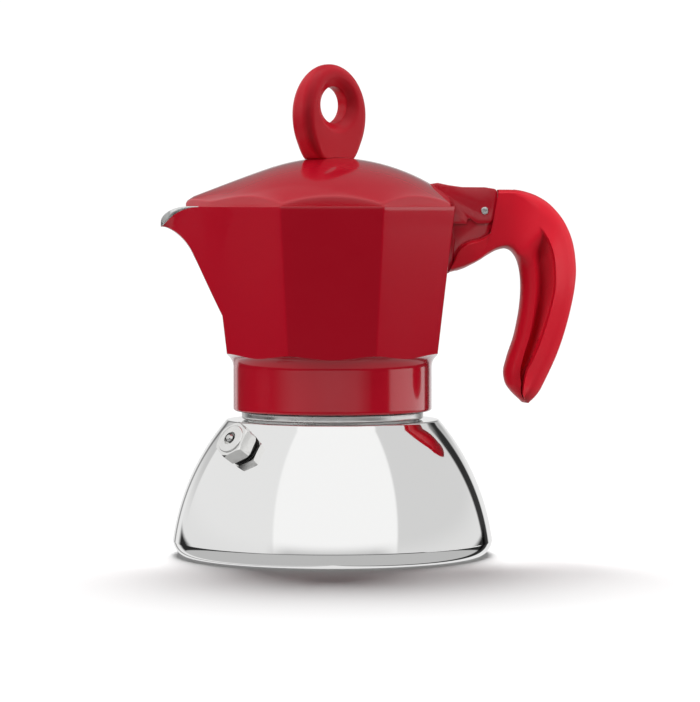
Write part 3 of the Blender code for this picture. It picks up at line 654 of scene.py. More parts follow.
def perforated(name, radius, low, high, hole_r, spacing, metal, edge=1.6):
    """A round sheet with rows of small holes in circles, the way these plates are punched."""
    disc = turned(name, [(0.0, high), (radius, high, 0.12), (radius, low, 0.12), (0.0, low)], [metal], 120)
    edit = bmesh.new()
    rings = int((radius - edge) / spacing)
    for ring in range(rings + 1):
        count = max(1, round(2 * math.pi * ring))
        for i in range(count):
            angle = 2 * math.pi * i / count + ring * 0.4
            out = ring * spacing
            at = Vector((out * math.cos(angle), out * math.sin(angle), (low + high) / 2)) * MM
            bmesh.ops.create_cone(edit, cap_ends=True, segments=10, radius1=hole_r * MM, radius2=hole_r * MM,
                                  depth=3 * MM, matrix=Matrix.Translation(at))
    return combine(disc, [plain(name + "_holes", edit)], "DIFFERENCE")


def funnel_parts():
    rim_high = node_box("funnel_basket")[1]
    rim_r, rim_z = rim_high.x, rim_high.z
    stem_low, stem_high = node_box("funnel_stem")
    stem_r, foot = stem_high.x, stem_low.z
    basket_r, thick, floor_z = 24.4, 0.8, 40.0
    inner = basket_r - thick
    outer_side = [(rim_r, rim_z, 0.35), (rim_r, rim_z - thick, 0.35), (basket_r, rim_z - thick, 0.5),
                  (basket_r, floor_z, 1.6), (basket_r - 1.8, floor_z - 1.8, 1.0), (stem_r + 1.1, 33.2, 2.0),
                  (stem_r + 1.1, 30.0, 0.2)]
    inner_side = [(stem_r + GAP, 30.0, 0.1), (stem_r + GAP, 33.9, 1.0), (inner - 1.8, floor_z - 0.9, 0.8),
                  (inner, floor_z + 0.6, 1.0), (inner, rim_z, 0.9)]
    basket = turned("coffee_basket", outer_side + inner_side, [PRESSED], closed=True)
    show(basket, "funnel", "aluminium", "funnel_basket")

    tube = [(stem_r, 33.0, 0.2), (stem_r, foot, 0.2), (stem_r - 0.8, foot, 0.2), (stem_r - 0.8, 33.0, 0.2)]
    stem = turned("funnel_tube", tube, [PRESSED], 64, closed=True)
    show(stem, "funnel", "aluminium", "funnel_stem")

    low, high = node_box("funnel_strainer")
    strainer = perforated("basket_strainer", high.x, low.z, high.z, 0.45, 2.0, PRESSED)
    show(strainer, "funnel", "aluminium", "funnel_strainer")


def seal_and_filter():
    low, high = SEAL_LOW.z, SEAL_HIGH.z
    ring = [(27.8, high, 0.9), (27.8, low, 1.0), (21.6, low, 0.9), (21.6, high, 0.3)]
    seal = turned("rubber_seal", ring, [WHITE_RUBBER], closed=True, steps=6)
    show(seal, "seal", "white_rubber", "seal_ring")

    low, high = node_box("filter_plate")
    screen = perforated("filter_screen", high.x, low.z, high.z, 0.42, 1.9, PRESSED)
    show(screen, "seal", "aluminium", "filter_plate")


# ---------------------------------------------------------------- jug

FACET_STEPS = 14
SPOUT_SIDE_STEPS = 30


def apothem(z):
    return JUG_APOTHEM + (RIM_APOTHEM - JUG_APOTHEM) * (z - JUG_Z) / (RIM_Z - JUG_Z)


def keel_x(z):
    """Where the spout's front is at a height: straight, then curled out to the tip."""
    foot = -apothem(SPOUT_FOOT_Z)
    if z <= SPOUT_FOOT_Z:
        return -apothem(z)
    straight = foot - SPOUT_SLOPE * (z - SPOUT_FOOT_Z)
    if z <= SPOUT_CURL_Z:
        return straight
    part = min(1.0, (z - SPOUT_CURL_Z) / (SPOUT_TIP_Z - SPOUT_CURL_Z))
    reach = SPOUT_TIP_X - (foot - SPOUT_SLOPE * (SPOUT_TIP_Z - SPOUT_FOOT_Z))
    return straight + reach * (1 - math.sqrt(1 - part ** 2))


def jug_ring(z, inset=0.0, keel=None):
    """The jug's outline at a height: (x, y) points from the handle's side, by the front, to the back."""
    half = apothem(z) - inset
    corner = half * TAN_EIGHTH
    tip_x = min(-half, (keel_x(min(z, SPOUT_TIP_Z)) + inset) if keel is None else keel)
    nose = 1.1 - 0.35 * inset

    def side_y(x):
        return -soft_larger(ROOT_TWO * half + x, nose, 1.2)

    tip_y = side_y(tip_x)
    rise = max(0.0, min(1.0, (z - SPOUT_FOOT_Z) / (RIM_Z - SPOUT_FOOT_Z)))
    corners = [(half, 0.0), (half, -corner), (corner, -half), (-corner, -half), (tip_x, tip_y), (tip_x, 0.0)]
    arcs = [[corners[0]]]
    for i in (1, 2, 3, 4):
        radius = max(0.25, CORNER_R - 0.5 * inset)
        before = corners[i - 1] if i < 4 else (tip_x + 3.0, side_y(tip_x + 3.0))
        arcs.append(corner_arc(before, corners[i], corners[i + 1], radius, 4))
    arcs.append([corners[5]])
    root = -half + (half + SPOUT_ROOT_X) * rise

    def hollowed(point):
        along = np.clip((root - point[0]) / (root - SPOUT_TIP_X), 0.0, 1.0)
        return tuple(np.array(point) + SPOUT_HOLLOW * rise * math.sin(math.pi * along) / ROOT_TWO)

    arcs[4] = [hollowed(point) for point in arcs[4]]
    steps = (FACET_STEPS // 2, FACET_STEPS, FACET_STEPS, SPOUT_SIDE_STEPS, FACET_STEPS // 2)
    points = []
    for side, count in enumerate(steps):
        start, end = np.array(arcs[side][-1]), np.array(arcs[side + 1][0])
        if side == 3:
            end = np.array(corners[4])
        points += arcs[side] if side else [corners[0]]
        for i in range(1, count):
            point = start + (end - start) * i / count
            points.append(hollowed((point[0], side_y(point[0]))) if side == 3 else tuple(point))
    points.append(corners[5])
    back = [(x, -y) for x, y in points[-2:0:-1]]
    return np.array(points + back)


def inside_ring(z):
    """The inside's outline at a height; the spout's front is the outer one, moved down and back."""
    return jug_ring(z, JUG_T, keel_x(min(z, SPOUT_TIP_Z + 1.2) - 1.6) + 1.2)


def lip_height(x):
    """Height of the rim: level, then rounded down to the spout's tip."""
    part = np.clip((LIP_FALL_X - x) / (LIP_FALL_X - SPOUT_TIP_X), 0.0, 1.0)
    return LIP_TIP_Z + (RIM_Z - LIP_TIP_Z) * np.sqrt(1 - part ** 2)


def painted_to(x):
    """Height up to which the spout's outside is painted."""
    beyond = np.maximum(0.0, PAINT_END_X - x)
    edge = RIM_Z - 0.15 * beyond - 0.003 * beyond ** 3
    return np.clip(edge, SPOUT_TIP_Z + 0.25, lip_height(x) - 0.25)


FOOT_RING = jug_ring(JUG_Z)
SPOKES = np.arctan2(FOOT_RING[:, 1], FOOT_RING[:, 0])
CIRCLE = np.column_stack([np.cos(SPOKES), np.sin(SPOKES)])


def level(ring, z):
    return np.column_stack([ring, np.broadcast_to(z, len(ring))])


def round_ring(radius, z):
    """A round ring, its points in the same directions as the jug's own."""
    return level(CIRCLE * np.reshape(radius, (-1, 1)), z)


def jug_inside():
    """From the floor's hole outwards, round the floor's edge and up the inside."""
    floor_round = 3.0
    round_top = FLOOR_Z + floor_round
    floor_edge = jug_ring(round_top, JUG_T + floor_round)
    rows = [round_ring(COLUMN_HOLE_R, FLOOR_Z)]
    for part in (0.08, 0.25, 0.45, 0.65, 0.85):
        rows.append(level(CIRCLE * COLUMN_HOLE_R * (1 - part) + floor_edge * part, FLOOR_Z))
    for step in range(7):
        turn = math.pi / 2 * step / 6
        inset = JUG_T + floor_round * (1 - math.sin(turn))
        rows.append(level(jug_ring(round_top, inset), FLOOR_Z + floor_round * (1 - math.cos(turn))))
    for z in (68.5, 71.0, 73.5, 76.0, 79.0, 82.0, 85.0, 88.0, 90.5, 92.5, 94.0, 95.2, 96.4, 97.4, 98.2):
        rows.append(level(inside_ring(z), z))
    rows.append(level(inside_ring(INSIDE_TOP_Z), INSIDE_TOP_Z))
    rim_height = lip_height(jug_ring(RIM_Z)[:, 0])
    for part in (0.25, 0.5, 0.75):
        heights = INSIDE_TOP_Z + (rim_height - 0.5 - INSIDE_TOP_Z) * part
        rows.append(level(inside_ring(INSIDE_TOP_Z + (RIM_Z - INSIDE_TOP_Z) * part), heights))
    return rows


def jug_rim():
    """Over the rim, and outside halfway down to the paint."""
    ring = jug_ring(RIM_Z)
    rim_height = lip_height(ring[:, 0])
    steps = [(JUG_T, 0.5), (1.85, 0.15), (1.5, 0.0), (1.0, 0.0), (0.5, 0.0), (0.06, 0.0), (0.0, 0.12)]
    rows = [level(jug_ring(RIM_Z, inset), rim_height - drop) for inset, drop in steps]
    rows.append(level(ring, (rim_height - 0.12 + painted_to(ring[:, 0])) / 2))
    return rows


def jug_outside():
    """Down the spout and the facets, then through the hollow rounding to the collar."""
    ring = jug_ring(RIM_Z)
    paint_top = painted_to(ring[:, 0])
    rows = [level(ring, paint_top)]
    for part in (0.8, 0.6, 0.4, 0.2):
        z = SPOUT_TIP_Z + (RIM_Z - SPOUT_TIP_Z) * part
        rows.append(level(jug_ring(z), SPOUT_TIP_Z + (paint_top - SPOUT_TIP_Z) * part))
    for step in range(15):
        z = SPOUT_CURL_Z + (SPOUT_TIP_Z - SPOUT_CURL_Z) * math.cos(math.pi / 2 * step / 14)
        rows.append(level(jug_ring(z), z))
    for z in (90.0, 87.0, 84.0, 81.0, 78.5, 76.5, 75.0, 74.2, 73.5, 72.8, 71.0, 68.5, 66.0, FACET_LOW_Z):
        rows.append(level(jug_ring(z), z))

    cove_centre = COLLAR_R + COVE_R
    meet_z = np.full(len(CIRCLE), 61.0)
    for _ in range(6):
        radii = np.array([np.hypot(*jug_ring(z)[i]) for i, z in enumerate(meet_z)])
        meet_z = COLLAR_TOP_Z + np.sqrt(np.maximum(0.0, COVE_R ** 2 - (cove_centre - radii) ** 2))
    for part in (0.66, 0.33, 0.12, 0.0):
        heights = meet_z + (FACET_LOW_Z - meet_z) * part
        ring = np.array([jug_ring(z)[i] for i, z in enumerate(heights)])
        rows.append(level(ring, heights))
    meet_turn = np.arccos(np.clip((cove_centre - radii) / COVE_R, -1, 1))
    for part in (0.9, 0.75, 0.6, 0.45, 0.3, 0.15, 0.0):
        turn = meet_turn * part
        rows.append(round_ring(cove_centre - COVE_R * np.cos(turn), COLLAR_TOP_Z + COVE_R * np.sin(turn)))
    return rows


def jug_collar():
    """Down the collar's outside and round its foot."""
    foot = rounded([(COLLAR_R, 45.7), (COLLAR_R, COLLAR_Z, 0.7), (COLLAR_BORE_R, COLLAR_Z, 0.4),
                    (COLLAR_BORE_R, COLLAR_THREAD_Z)])
    return [(COLLAR_R, 57.2), (COLLAR_R, 56.0), (COLLAR_R, 47.0)] + foot[:-1]


def jug_underside():
    """Up the collar's thread, then under the floor back to its hole."""
    rows = []
    for z in np.arange(COLLAR_THREAD_Z, SEAL_SEAT_Z - 0.5, 0.35):
        ridge = thread_ridge(z, SPOKES % (2 * math.pi), COLLAR_THREAD_Z, 56.5, 0.45, 0.5)
        rows.append(round_ring(COLLAR_BORE_R - ridge, z))
    under = [(COLLAR_BORE_R, SEAL_SEAT_Z), (21.2, SEAL_SEAT_Z), (20.6, SEAL_SEAT_Z + 0.9),
             (13.0, FLOOR_Z - 2.2), (5.5, FLOOR_Z - 1.4), (COLUMN_HOLE_R, FLOOR_Z - 1.4)]
    return rows + [round_ring(r, z) for r, z in under]


def jug_shell():
    """The jug's casting: painted outside, bare inside, on the spout's lip and in the collar."""
    rows, kinds = [], []
    for kind, made in (("bare", jug_inside()), ("rim", jug_rim()), ("painted", jug_outside())):
        rows += made
        kinds += [kind] * len(made)
    for r, z in jug_collar():
        rows.append(round_ring(r, z))
        kinds.append("painted" if r > COLLAR_R - 1.2 else "bare")
    under = jug_underside()
    rows += under
    kinds += ["bare"] * len(under)
    ring_x = jug_ring(RIM_Z)[:, 0]

    def paint(row, column):
        if kinds[row] == "rim":
            return int(ring_x[column] < PAINT_END_X)
        return int(kinds[row] == "bare")

    return grid("jug", rows, PAINTED_CAST, joined=True, paint=paint)


def screw_line(distance):
    """A point on the axis of the screw that holds the handle."""
    slope = Vector((8.5, 0.0, 4.3)).normalized()
    outward = Vector((slope.z, 0.0, -slope.x))
    return Vector((42.0, 0.0, 92.87)) + outward * distance


def pin_hole():
    """The hinge pin's hole, to cut from the bracket and from the lid's ears."""
    return rod("pin_hole", (PIN_X, -9, PIN_Z), (PIN_X, 9, PIN_Z), PIN_HOLE_R, PAINTED_CAST)


def collector_body():
    body = jug_shell()
    eye = arc((PIN_X, PIN_Z), 4.6, 165, 55, 16)
    root = [(apothem(z) - 0.9, z) for z in (106.0, 100.6, 88.4, 85.6)]
    back_edge = [(50.6, 107.8), (50.9, 104.6), (50.0, 101.6), (48.0, 99.2), (47.4, 96.4), (46.0, 94.9),
                 (37.5, 90.6)]
    web = plate("bracket_plate", [root[0], *eye, *back_edge, root[2]], TONGUE_HALF, PAINTED_CAST, 0.3)
    pad_outline = [root[1], (36.9, 99.6), (37.3, 96.0), (36.6, 88.4), (35.6, 86.4), root[3]]
    pad = plate("bracket_pad", pad_outline, 4.6, PAINTED_CAST, 0.4)
    combine(body, [web, pad], "UNION")
    screw_hole = rod("screw_hole", screw_line(-6.6), screw_line(1.0), 1.5, PAINTED_CAST)
    combine(body, [screw_hole, pin_hole()], "DIFFERENCE")
    return show(body, "collector", "red_enamel", "collector_body")


def column_parts():
    seat = SEAL_SEAT_Z + 2.2
    tube = [(3.6, 97.0, 0.2), (3.6, 90.0, 6.0), (4.5, FLOOR_Z + 1.8, 0.5), (6.4, FLOOR_Z + 1.2, 0.4),
            (6.4, FLOOR_Z + GAP, 0.1), (4.6, FLOOR_Z + GAP, 0.1), (4.6, seat, 0.2), (3.0, seat, 0.2),
            (2.6, FLOOR_Z, 0.5), (2.6, 97.0, 0.2)]
    column = turned("coffee_tube", tube, [CAST], 64, closed=True)
    show(column, "collector", "aluminium", "coffee_column")
    hood = [(0.0, 101.0), (3.4, 100.8, 1.5), (4.8, 99.6, 1.0), (4.8, 93.2, 0.2), (3.9, 93.2, 0.1),
            (3.9, 99.4, 0.5), (0.0, 99.9)]
    cap = turned("tube_cap", hood, [CAST], 64, steps=5)
    slot = box("cap_outlets", (-6.0, -1.5, 97.4), (6.0, 1.5, 99.2), [CAST])
    combine(cap, [slot], "DIFFERENCE")
    show(cap, "collector", "aluminium", "column_cap")


# ---------------------------------------------------------------- lid

def dome_z(x, y, inset=0.0):
    """The lid's top: a dome, or the straight ridge over the beak where that is higher."""
    reach = DOME_R - inset
    round_top = DOME_TOP_Z - DOME_R + math.sqrt(reach ** 2 - x * x - y * y)
    if x > RIDGE_X:
        return round_top
    start = DOME_TOP_Z - DOME_R + math.sqrt(reach ** 2 - RIDGE_X ** 2)
    ridge = start - RIDGE_FALL * (RIDGE_X - x)
    fall = 0.0105 + 0.000024 * max(0.0, -x - 22.0) ** 2.3
    nose = 0.9 * max(0.0, (-x - 42.2) / 2.6) ** 2
    return soft_larger(round_top, ridge - fall * y * y - nose, 0.9 * min(1.0, (RIDGE_X - x) / 12))


def lid_outline(inset=0.0):
    """The lid's outline, closed: from the handle's side, by the front, round to the back."""
    half = LID_APOTHEM
    corner = half * TAN_EIGHTH
    front = [(half, 0.0, 0.0), (half, -corner, 1.0), (corner, -half, 1.0), (-corner, -half, 1.0),
             (-30.0, -20.6, 1.2), (-37.2, -12.6, 1.2), (-40.3, -8.4, 3.0), (-44.8, -1.5, 1.3),
             (-44.8, 0.0, 0.0)]
    half_ring = []
    for i, (x, y, radius) in enumerate(front):
        if radius == 0.0:
            half_ring.append([(x, y)])
        else:
            half_ring.append(corner_arc(front[i - 1][:2], (x, y), front[i + 1][:2], radius, 5))
    steps = (8, 16, 16, 14, 8, 4, 8, 2)
    points = []
    for side, count in enumerate(steps):
        points += half_ring[side]
        start, end = np.array(half_ring[side][-1]), np.array(half_ring[side + 1][0])
        points += [tuple(start + (end - start) * i / count) for i in range(1, count)]
    points += half_ring[-1]
    whole = np.array(points + [(x, -y) for x, y in points[-2:0:-1]])
    return whole * (1 - inset / LID_APOTHEM)


def lid_surface(outline, inset, edge_round):
    """Rings of the lid's top from the middle out, the last ones rounding the edge down to the skirt."""
    reach = np.hypot(outline[:, 0], outline[:, 1])
    rows = []
    parts = (0.0, 0.04, 0.08, 0.14, 0.2, 0.27, 0.34, 0.41, 0.48, 0.55, 0.62, 0.69, 0.76, 0.82, 0.87, 0.91,
             0.945)
    for part in parts:
        ring = outline * part
        rows.append(np.column_stack([ring, [dome_z(x, y, inset) for x, y in ring]]))
    for step in range(6):
        turn = math.pi / 2 * step / 5
        back = edge_round * (1 - math.sin(turn))
        ring = outline * (1 - back / reach)[:, None]
        top = np.array([dome_z(x, y, inset) for x, y in ring])
        rows.append(np.column_stack([ring, top - edge_round * 0.8 * (1 - math.cos(turn))]))
    return rows


def lid():
    outline = lid_outline()
    inner = lid_outline(LID_T)
    rows = lid_surface(outline, 0.0, 0.55)
    kinds = [0] * len(rows)
    top_edge = rows[-1][:, 2]
    for z in (0.6, 0.25):
        rows.append(np.column_stack([outline, LID_Z + (top_edge - LID_Z) * z]))
    rows.append(np.column_stack([outline * 0.9985, np.full(len(outline), LID_Z)]))
    rows.append(np.column_stack([inner * 1.003, np.full(len(outline), LID_Z)]))
    kinds += [0, 0, 0, 1]
    under = lid_surface(inner, LID_T, 0.5)[::-1]
    rows.append(np.column_stack([inner, (under[0][:, 2] + LID_Z) / 2]))
    kinds.append(1)
    rows += under
    kinds += [1] * len(under)
    cap = grid("lid_cover", rows, PAINTED_CAST, paint=lambda row, column: kinds[row])
    arm_outline = [(28.6, 113.2, 0.0), (32.0, 113.75, 2.0), (35.3, 113.05, 6.0), (39.5, 112.45, 6.0),
                   (46.4, 112.4, 4.0), (50.1, 111.8, 1.2), (50.25, 108.6, 3.0), (49.8, 103.4, 3.0),
                   (48.0, 101.4, 2.0), (44.0, 101.2, 2.4), (41.3, 103.4, 2.0), (40.9, LID_Z, 0.4),
                   (35.4, LID_Z, 0.3), (31.0, 110.4, 0.0)]
    arm = plate("hinge_arm", rounded(arm_outline, closed=True, steps=6), EAR_OUTER, PAINTED_CAST, 0.7)
    combine(cap, [arm], "UNION")
    slot_outline = [(36.5, 106.5), (40.4, 108.0), (41.0, 116.0), (56.0, 116.0), (56.0, 98.0), (36.5, 98.0)]
    slot = plate("ear_slot", slot_outline, EAR_INNER, PAINTED_CAST, 0.0)
    knob_hole = rod("knob_hole", (KNOB_X, 0, 110), (KNOB_X, 0, 125), 1.9, PAINTED_CAST)
    combine(cap, [slot, pin_hole(), knob_hole], "DIFFERENCE")
    return show(cap, "lid", "red_enamel", "lid")


def hinge_pin():
    end, head, shaft = node_box("hinge_pin")[1].y, EAR_OUTER + 0.1, 1.0
    half = [(0.0, end), (1.0, end - 0.03, 0.25), (1.3, head, 0.08), (shaft, head)]
    other = [(r, -z, *rest) for r, z, *rest in half[::-1]]
    piece = turned("pivot_pin", half + other, [FIXING], 48)
    place(piece, Matrix.Translation((PIN_X * MM, 0, PIN_Z * MM)) @ Matrix.Rotation(math.pi / 2, 4, "X"))
    show(piece, "collector", "steel_fixing", "hinge_pin")


# ---------------------------------------------------------------- knob

def knob_line(reach, half, edge):
    """Points (distance from the hole's middle, y) from the hole over the face to the rim, and back."""
    dish_start = KNOB_HOLE_R + 0.25
    dish_end = min(KNOB_DISH_R, reach - edge - 0.3)
    flat_end = reach - edge
    face = [(KNOB_HOLE_R, KNOB_WEB - 0.25), (KNOB_HOLE_R + 0.07, KNOB_WEB - 0.07), (dish_start, KNOB_WEB)]
    for step in range(1, 9):
        part = step / 8
        rise = (half - KNOB_WEB) * math.sin(math.pi / 2 * part) ** 1.15
        face.append((dish_start + (dish_end - dish_start) * part, KNOB_WEB + rise))
    face.append(((dish_end + flat_end) / 2, half))
    for step in range(13):
        turn = math.pi / 2 * step / 12
        face.append((flat_end + edge * math.sin(turn), half - edge * (1 - math.cos(turn))))
    face.append((reach, 0.0))
    far_side = [(r, -y) for r, y in face[-2::-1]]
    return face + far_side + [(KNOB_HOLE_R, -0.5), (KNOB_HOLE_R, 0.5)]


def knob():
    """An egg-shaped ring that rests on the dome: one column of points for each direction from its hole."""
    half_width, middle, under = 13.25, 134.6, 118.2
    top, foot = KNOB_HIGH.z, KNOB_LOW.z - 3.8
    rows = []
    count = 144
    for i in range(count):
        angle = 2 * math.pi * i / count
        height = top - middle if math.sin(angle) > 0 else middle - under
        x, z = half_width * math.cos(angle), middle + height * math.sin(angle)
        if z < foot:
            x, z = x * (middle - foot) / (middle - z), foot
        spoke = Vector((x, z - KNOB_HOLE_Z))
        reach = spoke.length
        spoke.normalize()
        half = KNOB_HALF - 0.9 * max(0.0, math.sin(angle)) ** 2
        edge = 3.1 - 1.7 * smooth_step(0.55, 0.95, -math.sin(angle))
        column = []
        for r, y in knob_line(reach, half, edge):
            spot = KNOB_PLACE @ (Vector((spoke.x * r, -y, 0.0)) * MM) / MM
            rest = dome_z(spot.x, spot.y) + 0.05
            column.append((spoke.x * r, -y, max(rest, KNOB_HOLE_Z + spoke.y * r)))
        rows.append(column)
    body = grid("ring_knob", rows, [PLASTIC], joined=True, angle=50)
    place(body, KNOB_PLACE)
    hole = rod("knob_screw_hole", (KNOB_X, 0, 118), (KNOB_X, 0, 129.6), 1.7, [PLASTIC])
    combine(body, [hole], "DIFFERENCE", 50)
    show(body, "lid", "red_plastic", "knob")


def cross_slot(screw, reach, half, low, high):
    """Cut the cross into a screw's head."""
    cuts = [box("slot_along", (-reach, -half, low), (reach, half, high), [FIXING]),
            box("slot_across", (-half, -reach, low), (half, reach, high), [FIXING])]
    combine(screw, cuts, "DIFFERENCE")


def knob_fixings():
    low, high = node_box("knob_washer")
    ring = [(high.y, high.z, 0.15), (high.y, low.z, 0.15), (1.8, low.z, 0.05), (1.8, high.z, 0.05)]
    washer = turned("screw_washer", ring, [FIXING], 64, closed=True)
    show(place(washer, KNOB_PLACE), "lid", "steel_fixing", "knob_washer")
    low, high = node_box("knob_screw")
    head = low.z + 1.6
    line = [(0.0, high.z), (1.0, high.z), (1.4, high.z - 0.6), (1.4, head), (2.8, head, 0.1),
            (2.8, head - 0.8, 0.5), (1.9, low.z, 0.4), (0.0, low.z)]
    screw = turned("lid_screw", line, [FIXING], 48)
    cross_slot(screw, 1.7, 0.28, low.z - 1, low.z + 0.8)
    show(place(screw, KNOB_PLACE), "lid", "steel_fixing", "knob_screw")


# ---------------------------------------------------------------- handle

def handle_body():
    """The handle, lofted from the wedge at the jug, over the shoulder and down the grip to its tip."""
    back_line = [(37.2, 90.8), (38.3, 93.4), (39.7, 95.1), (41.7, 96.1), (45.4, 97.0), (48.3, 98.7),
                 (50.0, 101.1), (50.8, 103.8), (51.0, 106.4), (50.8, 109.2), (50.6, 111.6)]
    spine = [(50.6, 111.8), (55.5, 111.7), (59.2, 111.0), (62.9, 109.6), (66.6, 107.1), (70.2, 103.0),
             (72.6, 98.4), (73.9, 93.8), (74.5, 88.5), (74.4, 84.0), (73.5, 78.0), (71.6, 70.0),
             (69.0, 62.0), (65.8, 54.8), (62.6, 48.4), (61.2, 46.1)]
    under_line = [(35.6, 86.3), (37.2, 86.7), (38.8, 87.2), (40.4, 87.8), (41.8, 88.5), (43.0, 89.1),
                  (43.9, 89.6), (44.6, 90.0), (45.3, 90.4), (46.0, 90.9), (46.8, 91.4)]
    grip = [(46.9, 91.5), (49.6, 93.0), (52.2, 93.7), (54.0, 93.2), (55.3, 91.9), (56.3, 90.0), (57.0, 87.2),
            (57.35, 84.2), (57.4, 80.6), (57.1, 76.6), (56.5, 72.6), (55.2, 66.6), (53.2, 60.6), (52.2, 55.6),
            (53.6, 50.8), (57.0, 46.9)]
    lead, length = 34, 110
    outer = np.vstack([curve_through(back_line, lead), curve_through(spine, length)])
    inner = np.vstack([matched(back_line, under_line, lead), matched(spine, grip, length)])
    run = np.concatenate([np.zeros(lead), np.linspace(0, 1, length)])
    rows = [handle_section(start, end, along) for start, end, along in zip(outer, inner, run)]
    tip = (0.98, 0.95, 0.9, 0.82, 0.7, 0.5, 0.25)
    rows[-len(tip):] = [shrink_to_tip(row, share) for row, share in zip(rows[-len(tip):], tip)]
    return grid("handle_grip", rows, [PLASTIC], caps=True, angle=40)


def matched(first, second, count):
    """Points on the curve through second, each opposite the evenly spaced point through first."""
    knots = np.array(first, float)
    run = np.concatenate([[0], np.cumsum(np.linalg.norm(np.diff(knots, axis=0), axis=1))])
    fine = curve_through(second, 400)
    reach = np.concatenate([[0], np.cumsum(np.linalg.norm(np.diff(fine, axis=0), axis=1))])
    at = [reach[np.argmin(np.linalg.norm(fine - np.array(p), axis=1))] for p in second]
    wanted = np.interp(np.linspace(0, run[-1], count), run, at)
    return np.stack([np.interp(wanted, reach, fine[:, k]) for k in (0, 1)], axis=1)


def handle_section(start, end, along):
    """One ring across the handle, from its back (start) to its inner side (end).

    along is 0 from the jug to where the spine begins, and from there it runs to 1 at the tip.
    The grip is a wide crown, chamfered down to a sharp edge, on a narrower web.
    """
    width = math.dist(start, end)
    spine = smooth_step(0.055, 0.20, along)
    grip = smooth_step(0.22, 0.36, along)
    half = HANDLE_HALF - 0.6 * smooth_step(0.55, 1.0, along)
    crown = 1.2 + 2.4 * spine
    crown_y = half - 0.3 - 2.6 * spine
    face_end = min(width * 0.5, 4.0 + 3.2 * spine)
    web_y = half - 0.1 - 2.0 * grip
    inner_round = min(1.6 + 3.4 * grip, width * 0.42)
    left = width - inner_round

    def outer_y(d, chamfered):
        bulge = math.sin(math.pi / 2 * min(1.0, (d - crown) / (left - crown)))
        return (crown_y + (half - crown_y) * bulge) * (1 - grip) + chamfered * grip

    line = []
    for step in range(11):
        turn = math.pi / 3 * step / 10
        reach = (math.sin(turn) / math.sin(math.pi / 3)) ** (0.35 + 0.65 * spine)
        line.append((crown * (1 - math.cos(turn)) * 2, crown_y * reach))
    for part in (0.25, 0.5, 0.75, 0.92, 1.0):
        d = crown + (face_end - crown) * part
        line.append((d, outer_y(d, crown_y + (half - crown_y) * part)))
    for step, drop in ((0.12, 0.12), (0.2, 0.55), (0.5, 0.92)):
        line.append((face_end + step, outer_y(face_end + step, half - 4.2 * drop)))
    for part in (0.12, 0.3, 0.5, 0.7, 0.9):
        d = face_end + 0.5 + (left - face_end - 0.5) * part
        line.append((d, outer_y(d, half - 4.2 + (web_y - half + 4.2) * smooth_step(0.4, 1.15, part))))
    for step in range(10):
        turn = math.pi / 2 * step / 9
        line.append((left + inner_round * math.sin(turn), web_y * math.cos(turn) ** 0.9))
    start, end = np.array(start), np.array(end)
    across = (end - start) / width
    front = [(*(start + across * d), y) for d, y in line]
    return [(x, -y, z) for x, z, y in front] + [(x, y, z) for x, z, y in front[-2:0:-1]]


def shrink_to_tip(row, share):
    """A ring made narrower by share, and thinner by part of that."""
    points = np.array(row)
    middle = points.mean(axis=0)
    scaled = points.copy()
    scaled[:, 1] = points[:, 1] * share
    scaled[:, [0, 2]] = middle[[0, 2]] + (points[:, [0, 2]] - middle[[0, 2]]) * (0.35 + 0.65 * share)
    return scaled


def handle():
    body = handle_body()
    room_outline = [(30.0, 87.4), (37.5, 90.1), (46.2, 94.5), (47.9, 96.1), (48.5, 98.8), (50.5, 101.2),
                    (51.4, 104.4), (51.4, 125.0), (30.0, 125.0)]
    room = plate("plate_room", room_outline, TONGUE_HALF + GAP, [PLASTIC], 0.0)
    pad_room = box("pad_room", (30, -4.9, 80), (37.7, 4.9, 105), [PLASTIC])
    screw_hole = rod("handle_screw_hole", screw_line(-1.0), screw_line(6.0), 1.5, [PLASTIC])
    head_room = rod("handle_head_room", screw_line(2.0), screw_line(8.0), 2.6, [PLASTIC])
    ear_room = box("ear_room", (30, -EAR_OUTER - 0.4, 98.6), (55.4, EAR_OUTER + 0.4, 120), [PLASTIC])
    combine(body, [room, pad_room, screw_hole, head_room, ear_room], "DIFFERENCE", 40)
    return show(body, "collector", "red_plastic", "handle")


def handle_screw():
    line = [(0.0, 3.6), (1.6, 3.6, 0.3), (2.2, 3.0, 0.3), (2.2, 2.3, 0.1), (1.2, 2.3), (1.2, -5.6, 0.2),
            (0.8, -6.0), (0.0, -6.0)]
    piece = turned("grip_screw", line, [FIXING], 48)
    cross_slot(piece, 1.4, 0.25, 2.9, 5)
    turn = (screw_line(1) - screw_line(0)).to_track_quat("Z", "Y").to_matrix().to_4x4()
    place(piece, Matrix.Translation(screw_line(0) * MM) @ turn)
    show(piece, "collector", "steel_fixing", "handle_screw")


# ---------------------------------------------------------------- what stays from the frame

def dress_frame():
    """The hidden retainer keeps its shape, and gets the finished material."""
    mesh = frame["nodes"]["valve_retainer"].data
    for index in range(len(mesh.materials)):
        mesh.materials[index] = NICKEL


# ---------------------------------------------------------------- studio

